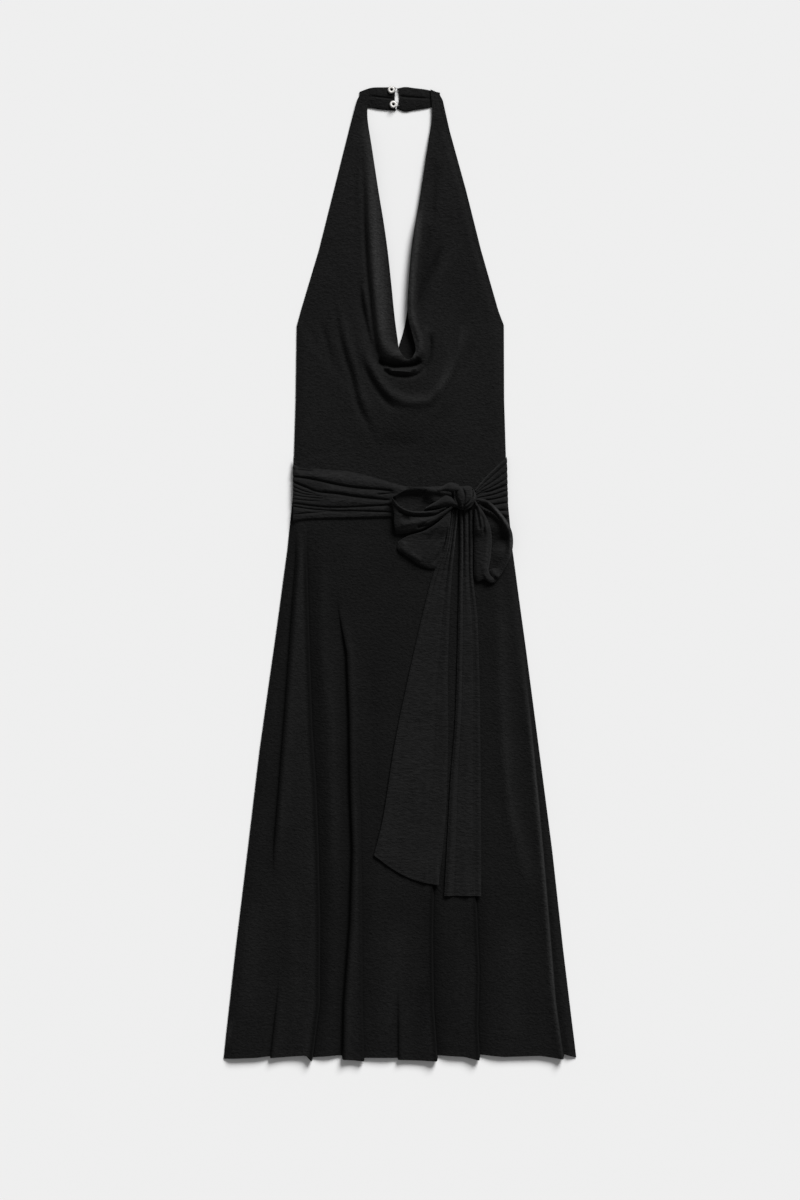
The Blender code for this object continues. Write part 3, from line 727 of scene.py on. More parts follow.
    def outer(self, share: Array, column: int) -> tuple[Array, Array]:
        """Return the side edge a share of the way down from the top."""
        top = np.interp(share, (0.0, 0.035, self.corner_share), (660.5, 650.6, ARMHOLE))
        past = np.clip((share - self.corner_share) / (1.0 - self.corner_share), 0.0, 1.0)
        low = mix(ARMHOLE, WAIST + GAP, past)
        y = np.where(share < self.corner_share, top, low)
        x = np.where(share < self.corner_share, HALTER_SIDES.edge(y, column), BODICE_SIDES.edge(y, column))
        return x, y

    def inner(self, share: Array, neckline: tuple) -> tuple[Array, Array]:
        """Return the neckline, and below it the middle of the front."""
        curve = along(neckline, np.minimum(1.0, share / self.v_share))
        drop = np.clip((share - self.v_share) / (1.0 - self.v_share), 0.0, 1.0)
        x = np.where(share <= self.v_share, curve[..., 0], mix(NECKLINE_MIDDLE, 3.0, drop))
        y = np.where(share <= self.v_share, curve[..., 1], mix(NECK_BOTTOM, WAIST + GAP, drop))
        return x, y

    def half(self, neckline: tuple, column: int) -> Place:
        """Return the place function of the left half (column 1) or the right half (column 2)."""

        def place(u: Array, v: Array) -> tuple[Array, Array, Array]:
            """Return the underside of one half."""
            share = (u if column == 2 else 1.0 - u) ** 1.12
            start = self.inner(1.0 - v, neckline)
            end = self.outer(1.0 - v, column)
            x = mix(start[0], end[0], share)
            y = mix(start[1], end[1], share)
            width = np.hypot(end[0] - start[0], end[1] - start[1])
            lip = bell(share, 0.12) * ramp(y, 300.0, 340.0) * (1.0 - ramp(y, 560.0, 640.0))
            z = self.lift(x, y) + self.rise(x, y) * self.rest(x, y) + 1.2 * lip
            above = ramp(1.0 - v, self.v_share, self.v_share - 0.01)
            seam = bell(share * width - self.stitch_inset, self.seam_width) * above
            side = (1.0 - share) * width - self.armhole_inset
            hem = bell(side, self.seam_width) * ramp(y, 341.0, 345.0)
            z = z + 0.22 * crinkle(x, y) * ramp(width * np.minimum(share, 1.0 - share), 0.0, 6.0)
            return x, y, np.maximum(z - self.seam_depth * (seam + hem), 0.0) + SHELL_INSET

        return place

    def build(self, crepe: bpy.types.Material, facing: bpy.types.Material) -> list[bpy.types.Object]:
        """Build the three pieces and return them."""
        left = grid_piece("bodice_front", self.columns, self.rows)
        shape_grid(left, self.half(self.neckline_left, 1))
        right = grid_piece("bodice_right_half", self.columns, self.rows)
        shape_grid(right, self.half(self.neckline_right, 2))
        choose(left)
        right.select_set(True)
        bpy.ops.object.join()
        weld(left)
        set_painted_light(left, self.painted_light)
        wall(left, SHELL)
        finish_piece(left, crepe, ("front_bodice",))

        def facing_place(u: Array, v: Array) -> tuple[Array, Array, Array]:
            """Return the underside of the facing."""
            left_edge = along(self.facing_left, v)
            right_edge = along(self.facing_right, v)
            x = mix(left_edge[..., 0], right_edge[..., 0], u)
            y = mix(left_edge[..., 1], right_edge[..., 1], u)
            under = self.lift(x, y) + self.rise(x, y) * self.rest(x, y)
            return x, y, np.clip(under - 2.2, 0.0, 2.5) * ramp(u, 0.45, 1.0) + 0.1

        lining = cloth("neckline_facing", 24, 70, facing_place, FACING_WALL)
        finish_piece(lining, facing, ("cowl_facing",))

        def back_place(u: Array, v: Array) -> tuple[Array, Array, Array]:
            """Return the underside of the low back."""
            _, left, right = BODICE_SIDES.rows[-1]
            return back_panel(BODICE_SIDES, u, mix(WAIST + GAP, self.back_edge(mix(left, right, u)), v))

        back = cloth("bodice_back", 60, 40, back_place, BACK_WALL)
        finish_piece(back, crepe, ("back_bodice",))
        return [left, lining, back]


# The skirt

@dataclass(frozen=True)
class Lap:
    """A fold of the skirt that laps over.

    Its edge is sharp, with raised cloth on one side and low cloth beyond. Most laps get a painted
    shadow line and wedge along their edge; one that skips it has a painted highlight there instead.
    """

    path: tuple
    side: float
    rise: float
    reach: float
    dip: float
    dip_reach: float
    fade_in: tuple[float, float]
    fade_out: tuple[float, float] = (-2000.0, -2001.0)
    bright: bool = False

    def edge(self, y: Array) -> Array:
        """Return the X of the fold's edge at a height."""
        table = np.asarray(self.path[::-1], dtype=float)
        return np.interp(y, table[:, 1], table[:, 0])

    def strength(self, y: Array) -> Array:
        """Return how far the fold has risen at a height, from 0 to 1."""
        rising = ramp(-y, -self.fade_in[0], -self.fade_in[1])
        return rising * (1.0 - ramp(-y, -self.fade_out[0], -self.fade_out[1]))

    def height(self, x: Array, y: Array) -> Array:
        """Return the fold's height at places."""
        beyond = self.side * (x - self.edge(y))
        raised = self.rise * bell(np.minimum(beyond, 0.0), self.reach)
        low = -self.dip * bell(np.maximum(beyond, 0.0), self.dip_reach)
        return mix(raised, low, ramp(beyond, -2.0, 0.9)) * self.strength(y)


@dataclass
class Skirt:
    """The front and back of the flared skirt."""

    columns: int = 236
    rows: int = 200
    loft: float = 3.2
    cover_reach: float = 7.0
    # Painted shade: the strength of the shadow line painted along high and low laps' edges, and of the
    # shadow wedge painted beyond them.
    painted_edge_shade: tuple[float, float] = (1.5, 0.7)
    painted_wedge_shade: float = 0.22
    samples: int = 1200
    crowding: float = 8.0
    back_lift: float = 7.0
    laps: tuple[Lap, ...] = (
        Lap(((-141.7, 18), (-147.4, -52), (-158, -194), (-168, -321), (-173, -378)),
            -1, 2.6, 15, 0.8, 9, (70, 10), (-330, -430)),
        Lap(((-166, -560), (-170, -600), (-177, -662)), -1, 1.6, 12, 1, 7, (-540, -620)),
        Lap(((-127.6, 18), (-124.7, -88), (-120.5, -215), (-115.5, -286), (-112, -378), (-109.9, -477),
            (-110.5, -590), (-120, -664)), 1, 3.4, 18, 3, 13, (80, -10)),
        Lap(((-83.7, -52), (-73, -109), (-69.6, -194), (-68.1, -300), (-65, -378), (-68.1, -477),
            (-76.6, -590), (-78, -661)), -1, 3.2, 9, 2.8, 15, (-20, -130)),
        Lap(((-62.5, -215), (-54, -321), (-51.9, -441), (-51.2, -590), (-49, -666)),
            1, 1.6, 10, 1.6, 14, (-180, -330)),
        Lap(((-2, -590), (-1.5, -665)), -1, 1.4, 8, 1, 9, (-560, -630)),
        Lap(((46.7, -400), (45, -500), (46.2, -594), (51.5, -665)), 1, 3.2, 13, 3, 12, (-370, -440)),
        Lap(((104, -430), (109, -547), (107, -618), (109.5, -664)), 1, 2.8, 12, 2.8, 13, (-400, -460)),
        # This lap skips the painted shade and has a painted highlight along its edge.
        Lap(((166, -80), (171.7, -123), (185.9, -264), (196.5, -378), (203.6, -463), (214.2, -590),
            (224.8, -664)), 1.0, 3.4, 8.0, 2.2, 10.0, (-70, -200), bright=True),
    )
    soft_folds: tuple[Fold, ...] = (
        Fold(((136.4, 0), (138, -90), (141, -170), (151, -300), (165, -378), (180, -440)), 9, 2.8, 0.2),
        Fold(((-105, 20), (-106, -90), (-100, -210)), 7, 1.5, 0.3),
        Fold(((-92, -60), (-93, -180), (-92, -330), (-92, -470)), 9, 1.8, 0.3),
        Fold(((-40, -120), (-36, -250), (-34, -400)), 10, -1.4, 0.3),
        Fold(((0, -480), (-12, -560), (-22, -655)), 14, 1.8, 0.3),
        Fold(((32, -560), (22, -610), (16, -660)), 8, -1.6, 0.3),
        Fold(((78, -470), (80, -560), (84, -655)), 12, 1.4, 0.3),
        Fold(((150, -470), (152, -560), (148, -655)), 14, 1.6, 0.3),
        Fold(((-148, -420), (-146, -520), (-142, -650)), 9, 1.4, 0.3),
        Fold(((-200, -450), (-206, -540), (-214, -640)), 12, 1.4, 0.3),
        Fold(((-229, -612), (-232, -630), (-237, -652)), 2.4, 1.6, 0.2),
    )
    # Painted light: highlights painted along the right lap's edge, on a few crests and at the left hem
    # corner, and shade painted in the valleys between the laps (negative heights).
    painted_light_folds: tuple[Fold, ...] = (
        Fold(((176, -160), (184, -264), (194.5, -378), (201.6, -463), (212.2, -590), (222.8, -664)),
             2.4, 1.3, 0.3),
        Fold(((140, -150), (150, -300), (163, -378)), 4, 0.30, 0.35),
        Fold(((-136, 0), (-136, -150), (-135, -300), (-130, -450)), 11, 0.10, 0.3),
        Fold(((-230, -612), (-233, -630), (-238, -652)), 1.5, 0.7, 0.3),
        Fold(((-118, -60), (-112, -200), (-106, -300), (-103, -400), (-103, -560), (-108, -660)),
             7, -0.30, 0.25),
        Fold(((-86, -80), (-78, -200), (-76, -330), (-76, -470), (-84, -590), (-86, -655)),
             5, -0.24, 0.25),
        Fold(((-152, -20), (-163, -180), (-176, -330), (-182, -420)), 7, -0.26, 0.3),
        Fold(((78, -430), (80, -540), (80, -660)), 22, -0.16, 0.2),
        Fold(((38, -430), (38, -500), (44, -600)), 7, -0.30, 0.3),
        Fold(((-44, -200), (-42, -330), (-43, -470), (-43, -600)), 6, -0.16, 0.3),
    )
    hem: tuple = (
        (-241.5, -666), (-197, -664.4), (-177.5, -662), (-176.5, -664.5), (-128, -661), (-121, -668.8),
        (-119.5, -664), (-84, -661), (-78.5, -661.5), (-77.5, -666.5), (-49.5, -668.8), (-48.5, -664.4),
        (-2.5, -664.4), (-1, -667), (51, -668.8), (52.5, -661), (90, -663), (109, -667.6),
        (110.5, -660), (143, -663.2), (193, -661.5), (224, -666), (226, -659.5), (242.5, -664.6),
    )

    def columns_at(self, y: float, shares: Array) -> Array:
        """Return the X of the columns at a height, closer together at the laps."""
        left = float(SKIRT_SIDES.edge(np.array(y), 1))
        right = float(SKIRT_SIDES.edge(np.array(y), 2))
        samples = np.linspace(left, right, self.samples)
        density = np.ones_like(samples)
        for lap in self.laps:
            density += self.crowding * bell(samples - lap.edge(np.array(y)), 4.5)
        total = np.concatenate(([0.0], np.cumsum((density[1:] + density[:-1]) / 2.0)))
        return np.interp(shares * total[-1], total, samples)

    def relief(self, x: Array, y: Array) -> Array:
        """Return the height of the folds above the skirt's lowest cloth."""
        total = self.loft + folds_at(self.soft_folds, x, y)
        for lap in self.laps:
            total += lap.height(x, y)
        return np.maximum(0.0, total)

    def cover(self, x: Array, y: Array) -> Array:
        """Return how far the folds lift what lies on the skirt."""
        beside = np.maximum(self.relief(x - self.cover_reach, y), self.relief(x + self.cover_reach, y))
        return np.maximum(self.relief(x, y), beside) + 0.8

    def painted_light(self, x: Array, y: Array) -> Array:
        """Return the painted light: painted highlights on the folds' crests, painted shade in their hollows,
        and a painted shadow line and wedge at the laps' edges.
        """
        streaks = 0.8 + 0.2 * RIPPLE.at(x / 3.0 + 60.0, y / 50.0 + 20.0)
        painted_shading = PAINTED_FOLD_SHADING * (self.relief(x, y) - self.loft)
        # Painted shade: a shadow line along each lap's edge and a shadow wedge beyond it, except on a lap
        # that skips it.
        for lap in self.laps:
            if lap.bright:
                continue
            beyond = lap.side * (x - lap.edge(y))
            edge = bell(beyond + 0.9, 3.2) * self.painted_edge_shade[0 if lap.rise > 2.0 else 1]
            painted_shadow_wedge = bell(np.maximum(beyond, 0.0), 0.8 * lap.dip_reach) * ramp(beyond, -1.0, 1.0)
            painted_shading -= lap.strength(y) * (edge + self.painted_wedge_shade * painted_shadow_wedge * lap.dip / 3.0)
        return np.clip(folds_at(self.painted_light_folds, x, y) * streaks + painted_shading, -0.95, 1.0)

    def place(self, u: Array, v: Array) -> tuple[Array, Array, Array]:
        """Return the underside of the front."""
        y = mix(HEM, WAIST, v)
        x = np.empty(u.shape)
        rows = np.round(v * self.rows).astype(int)
        for row in range(self.rows + 1):
            mask = rows == row
            x[mask] = self.columns_at(mix(HEM, WAIST, row / self.rows), u[mask])
        rest = ramp(SKIRT_SIDES.inside(x, y), 0.0, 12.0)
        lay = mix(0.1, 1.0, ramp(SKIRT_SIDES.inside(x, y), -1.0, 7.0))
        waist = ramp(y, WAIST, WAIST - 50.0)
        waves = 0.35 * crinkle(x, y) * rest
        ease = 0.5 + 0.5 * np.sin(x / 23.0 + y / 400.0)
        seam = 0.35 * bell(y - HEM - 8.0, 1.3)
        table = np.asarray(self.hem, dtype=float)
        hem = np.interp(x, table[:, 0], table[:, 1]) - HEM
        folds = self.relief(x, y) * rest * mix(0.35, 1.0, waist)
        z = FRONT_BASE * lay + folds + np.maximum(-0.2, waves + 0.6 * ease * rest)
        return x, y + hem * (1.0 - ramp(v, 0.0, 0.07)), z - seam + SHELL_INSET

    def build(self, crepe: bpy.types.Material) -> list[bpy.types.Object]:
        """Build both panels and return them."""
        front = cloth("skirt_front", self.columns, self.rows, self.place, SHELL, self.painted_light)
        finish_piece(front, crepe, ("front_skirt",))

        def back_place(u: Array, v: Array) -> tuple[Array, Array, Array]:
            """Return the underside of the back."""
            return back_panel(SKIRT_SIDES, u, mix(HEM + self.back_lift, WAIST, v))

        back = cloth("skirt_back", 60, 80, back_place, BACK_WALL)
        finish_piece(back, crepe, ("back_skirt",))
        return [front, back]


# The neckband, its buttons and loops

@dataclass
class Neckband:
    """The folded neckband in two halves, closed by ring buttons and thread loops."""

    halves: tuple = (
        ("neckband_end_left", "neckband_left", Strip(
            ((-55, 641.5), (-40, 640), (-24, 637.8), (-5.2, 636.2)),
            ((-55, 662), (-40, 667.2), (-24, 668), (-5.6, 668)), 0, -1.6)),
        ("neckband_end_right", "neckband_right", Strip(
            ((-3.9, 639.6), (7, 635.2), (20, 637.2), (36, 639.6), (55.5, 642.5)),
            ((-3, 666.6), (8, 668.4), (20, 667), (36, 665), (55.5, 661)), 3.6)),
    )
    fasteners: tuple = (("upper", (-11.0, 664.4)), ("lower", (-8.4, 644.4)))
    radius: float = 4.65
    thread: float = 0.4
    ring: tuple[float, float] = (3.25, 1.35)

    def build(self, crepe: bpy.types.Material, pearl: bpy.types.Material, twist: bpy.types.Material) -> list:
        """Build the band, the buttons and the loops, and return the band's halves."""
        made = []
        for name, node, strip in self.halves:

            def place(u: Array, v: Array, strip: Strip = strip) -> tuple[Array, Array, Array]:
                """Return the upper face of the folded band, with its lengthwise fold."""
                x, y = strip.point(u, v)
                across = np.sin(np.pi * np.clip(v, 0.0, 1.0)) ** 0.35
                plump = across * np.sin(np.pi * np.clip(u, 0.0, 1.0)) ** 0.2
                fold = bell(v - (0.62 - 0.12 * u), 0.055) * ramp(np.abs(u - 0.5), 0.5, 0.35)
                inside = mix(0.12, 1.0, ramp(np.abs(x), 45.0, 30.0))
                return x, y, 0.4 + inside * (2.1 * plump - 1.7 * fold) + 0.1 * crinkle(x, y, 9.0, 5.0)

            half = cloth(name, 70, 50, place, BAND_WALL)
            finish_piece(half, crepe, (node,))
            made.append(half)
        for level, centre in self.fasteners:
            self.button(f"ring_button_{level}", f"button_{level}", centre, pearl)
        for level, centre in self.fasteners:
            self.loop(f"thread_loop_{level}", f"button_loop_{level}", centre, twist)
        return made

    def button(self, name: str, node: str, centre: tuple[float, float], pearl: bpy.types.Material) -> None:
        """Turn a ring button: a rounded rim round a dished middle."""
        bpy.ops.object.select_all(action="DESELECT")
        base = BAND_THICKNESS + GAP
        bpy.ops.mesh.primitive_torus_add(
            major_segments=48, minor_segments=20,
            major_radius=self.ring[0] * MM, minor_radius=self.ring[1] * MM,
            location=(centre[0] * MM, centre[1] * MM, (base + 1.3) * MM),
        )
        piece = bpy.context.object
        piece.name = name
        bpy.ops.object.transform_apply(location=True, rotation=True, scale=True)
        finish_piece(piece, pearl, (node,))

    def loop(self, name: str, node: str, centre: tuple[float, float], twist: bpy.types.Material) -> None:
        """Lay a thread loop from the right half round its button."""
        radius = self.radius + self.thread - 0.15
        height = BAND_THICKNESS + GAP + self.thread
        turn = np.radians(45.0 + 10.0 * np.arange(28))
        route = [(-0.4, centre[1] + 1.6), (centre[0] + 0.88 * radius, centre[1] + 2.6)]
        route += [(centre[0] + radius * math.cos(a), centre[1] + radius * math.sin(a)) for a in turn]
        route += [(centre[0] + 0.88 * radius, centre[1] - 2.6), (-0.4, centre[1] - 1.6)]
        path = tuple(route)

        def place(u: Array, v: Array) -> tuple[Array, Array, Array]:
            """Return the tube's surface: u goes round it and v along it, closed at both ends."""
            middle = along(path, v)
            way = along(path, np.minimum(v + 0.01, 1.0)) - along(path, np.maximum(v - 0.01, 0.0))
            way = way / np.maximum(np.hypot(way[..., 0], way[..., 1]), 1e-9)[..., None]
            reach = self.thread * np.where((v > 0.001) & (v < 0.999), 1.0, 0.0)
            out = reach * np.cos(2.0 * np.pi * u)
            return (middle[..., 0] - way[..., 1] * out, middle[..., 1] + way[..., 0] * out,
                    height + reach * np.sin(2.0 * np.pi * u))

        piece = grid_piece(name, 12, 96)
        shape_grid(piece, place)
        weld(piece, outwards=True)
        finish_piece(piece, twist, (node,))


# The sash and the bow

@dataclass
class Sash:
    """The two stretches of the sash, gathered towards the knot."""

    left: Strip = field(default_factory=lambda: Strip(
        ((-145.8, 70), (-127, 73.5), (-88.6, 74.9), (-40.5, 76.3), (-10, 77.6), (25, 79), (52, 85),
        (70.2, 96)),
        ((-145.8, 160), (-137, 146), (-109, 143.6), (-65, 139.5), (-26.8, 129.8), (7.6, 120),
        (44.7, 119.5),
         (70.2, 121)),
    ))
    right: Strip = field(default_factory=lambda: Strip(
        ((104.4, 92), (118, 84), (149.2, 78)),
        ((104.4, 115), (113.4, 126), (124.3, 138), (147.2, 160)),
    ))
    creases: tuple[Fold, ...] = (
        Fold(((-150, 133), (-137, 132), (-117, 129), (-83, 121.5), (-60, 118), (-31, 115.5), (-8, 113)),
             2, -3.2, 0.05),
        Fold(((-148, 126.5), (-130, 119), (-112, 112.4), (-87, 109.9), (-60, 105.5), (-30, 102.3),
             (-12, 101)), 2, -3.1, 0.08),
        Fold(((-150, 97), (-112, 92), (-83, 90.7), (-56, 91.9), (-8, 94.3)), 1.7, -2.7, 0.05),
        Fold(((-150, 93), (-123, 88.6), (-94, 86.7), (-56, 85.8), (-8, 84.3)), 1.6, -2.6, 0.05),
        Fold(((-150, 80.5), (-120, 83.5), (-90, 84.4), (-60, 82)), 1.4, -1.6, 0.2),
        Fold(((-31, 108.5), (-20, 109.4), (-6, 110.8)), 1.3, -2.4, 0.2),
        Fold(((-150, 151), (-138, 148.6), (-122, 145.8)), 1.5, -3, 0.1),
        Fold(((-150, 143.5), (-133, 142), (-118, 141)), 1.4, -1.6, 0.2),
        Fold(((-149, 121), (-132, 113.5), (-112, 108.8)), 1.2, -1.8, 0.2),
        Fold(((-149, 115), (-130, 109), (-106, 106.6)), 1.1, -1.5, 0.2),
        Fold(((-149, 108.5), (-128, 105), (-104, 103)), 1.1, -1.5, 0.2),
        Fold(((-149, 103), (-130, 100.6), (-108, 99)), 1.1, -1.2, 0.2),
        Fold(((-130, 137), (-95, 132), (-62, 126), (-30, 121)), 5, 1, 0.2),
        Fold(((-110, 118), (-80, 114), (-48, 110), (-24, 108)), 3, 1.1, 0.2),
        Fold(((-100, 101), (-66, 99), (-30, 98)), 4, 1.1, 0.2),
        Fold(((8, 116), (28, 114), (48, 112)), 4, -2, 0.2),
    )
    right_ribs: int = 9

    def left_place(self, u: Array, v: Array) -> tuple[Array, Array, Array]:
        """Return the underside of the left stretch."""
        x, y = self.left.point(u, v)
        edges = ramp(v, 1.03, 0.84) * ramp(v, -0.02, 0.05)
        level = SASH_HEIGHT * edges + folds_at(self.creases, x, y) * ramp(v, 1.0, 0.93)
        z = TRIM_BASE + np.maximum(level, 0.1) * ramp(u, -0.15, 0.08)
        return x, y, z + 0.28 * crinkle(x, y, 12.0, 4.0) * edges + SHELL_INSET

    def painted_light(self, x: Array, y: Array) -> Array:
        """Return the painted shade in the creases of the left stretch, and a little painted highlight on its
        ridges.
        """
        return np.clip(1.6 * PAINTED_FOLD_SHADING * folds_at(self.creases, x, y), -0.7, 0.3)

    def right_place(self, u: Array, v: Array) -> tuple[Array, Array, Array]:
        """Return the underside of the right stretch, pleated like a fan."""
        x, y = self.right.point(u, v)
        phase = v + 0.02 * np.sin(9.0 * v + 2.0 * u)
        wave = np.abs(np.sin(np.pi * self.right_ribs * phase)) ** 0.75 * mix(0.35, 0.75, u)
        dark = 1.0 - 0.9 * bell(v - mix(0.66, 0.52, u), 0.03)
        rest = ramp(1.0 - u, -0.1, 0.12) * ramp(np.minimum(v, 1.0 - v), -0.02, 0.04)
        z = TRIM_BASE + SASH_HEIGHT * (mix(0.45, 0.15, u) + wave * dark) * rest
        return x, y, z + 0.12 * crinkle(x, y, 8.0, 5.0) + SHELL_INSET

    def build(self, crepe: bpy.types.Material) -> list[bpy.types.Object]:
        """Build both stretches and return them."""
        left = cloth("sash_stretch_left", 140, 150, self.left_place, SHELL, self.painted_light)
        finish_piece(left, crepe, ("sash_left",))
        right = cloth("sash_stretch_right", 50, 180, self.right_place, THIN_WALL)
        finish_piece(right, crepe, ("sash_right",))
        return [left, right]


LOOP_SECTION = (
    (0.00, 0.00, 0), (0.35, 0.00, 0), (0.70, 0.00, 0), (0.90, 0.05, 0.1), (0.985, 0.25, 0.35),
    (1.00, 0.50, 0.6), (0.95, 0.78, 0.9), (0.80, 0.97, 1), (0.50, 1.00, 1), (0.20, 0.85, 1),
    (0.00, 0.62, 1),
)


def bow_bed(y: Array) -> Array:
    """Return the height that the bow lies at: on the sash, and down on the skirt below it."""
    return mix(TRIM_BASE + 0.2, BOW_BASE, ramp(y, 46.0, 66.0))


@dataclass(frozen=True)
class BowLoop:
    """A loop of the bow: a strip that leaves the knot, turns at its tip and comes back."""

    name: str
    node: str
    back: Strip
    front: Strip
    tip: tuple
    height: float
    open_edge: float
    back_folds: tuple[Fold, ...]
    front_folds: tuple[Fold, ...]
    edge_power: float = 0.22
    # Painted highlights, as along a loop's rim.
    painted_light_folds: tuple[Fold, ...] = ()

    def place(self, u: Array, v: Array) -> tuple[Array, Array, Array]:
        """Return the strip's surface at u along it and v across it."""
        section = along(LOOP_SECTION, u)
        reach = np.clip(section[..., 0], 0.0, 1.0)
        rise = np.maximum(section[..., 1], 0.0)
        front = section[..., 2]
        behind = self.back.point(reach, v)
        ahead = self.front.point(reach, v)
        far = along(self.tip, v)
        end = self.back.point(np.ones(u.shape), v)
        pull = reach ** 5
        x = mix(behind[0], ahead[0], front) + pull * (far[..., 0] - end[0])
        y = mix(behind[1], ahead[1], front) + pull * (far[..., 1] - end[1])
        crown = 0.22 + 0.78 * np.sin(np.pi * np.clip(v, 0.0, 1.0)) ** self.edge_power
        if self.open_edge:
            crown = np.maximum(crown, self.open_edge * ramp(v, 0.7, 0.0))
        upper = rise * self.height * crown + front * folds_at(self.front_folds, x, y)
        lower = (1.0 - front) * folds_at(self.back_folds, x, y)
        grain = 0.4 * crinkle(x, y, 10.0, 5.0)
        height = np.maximum(upper, rise * 2.8) + np.maximum(lower, 0.0) + grain * rise
        return x, y, bow_bed(y) + height + SHELL_INSET

    def painted_light(self, x: Array, y: Array) -> Array:
        """Return the painted highlight on the loop's rim, and the painted shade in its creases and painted
        highlight on its ridges.
        """
        creases = PAINTED_FOLD_SHADING * folds_at(self.front_folds, x, y)
        return np.clip(folds_at(self.painted_light_folds, x, y) + creases, -0.7, 1.0)

    def build(self, crepe: bpy.types.Material) -> bpy.types.Object:
        """Build the loop and return it."""
        piece = cloth(self.name, 140, 92, self.place, SHELL, self.painted_light)
        return finish_piece(piece, crepe, (self.node,))


@dataclass(frozen=True)
class Leaf:
    """A pleat of the bow's cloth that shows beside the knot: a ridge that rolls down at its edges."""

    name: str
    strip: Strip
    base: float
    height: float

    def place(self, u: Array, v: Array) -> tuple[Array, Array, Array]:
        """Return the pleat's surface at u along it and v across it."""
        x, y = self.strip.point(u, v)
        round_over = np.sin(np.pi * np.clip(v, 0.0, 1.0)) ** 0.6
        ends = ramp(u, -0.05, 0.3)
        z = BOW_BASE + self.base + self.height * round_over * ends
        return x, y, z + 0.3 * crinkle(x, y, 9.0, 5.0)

    def build(self, crepe: bpy.types.Material) -> bpy.types.Object:
        """Build the pleat and return it."""
        piece = cloth(self.name, 60, 40, self.place)
        return finish_piece(piece, crepe, ())


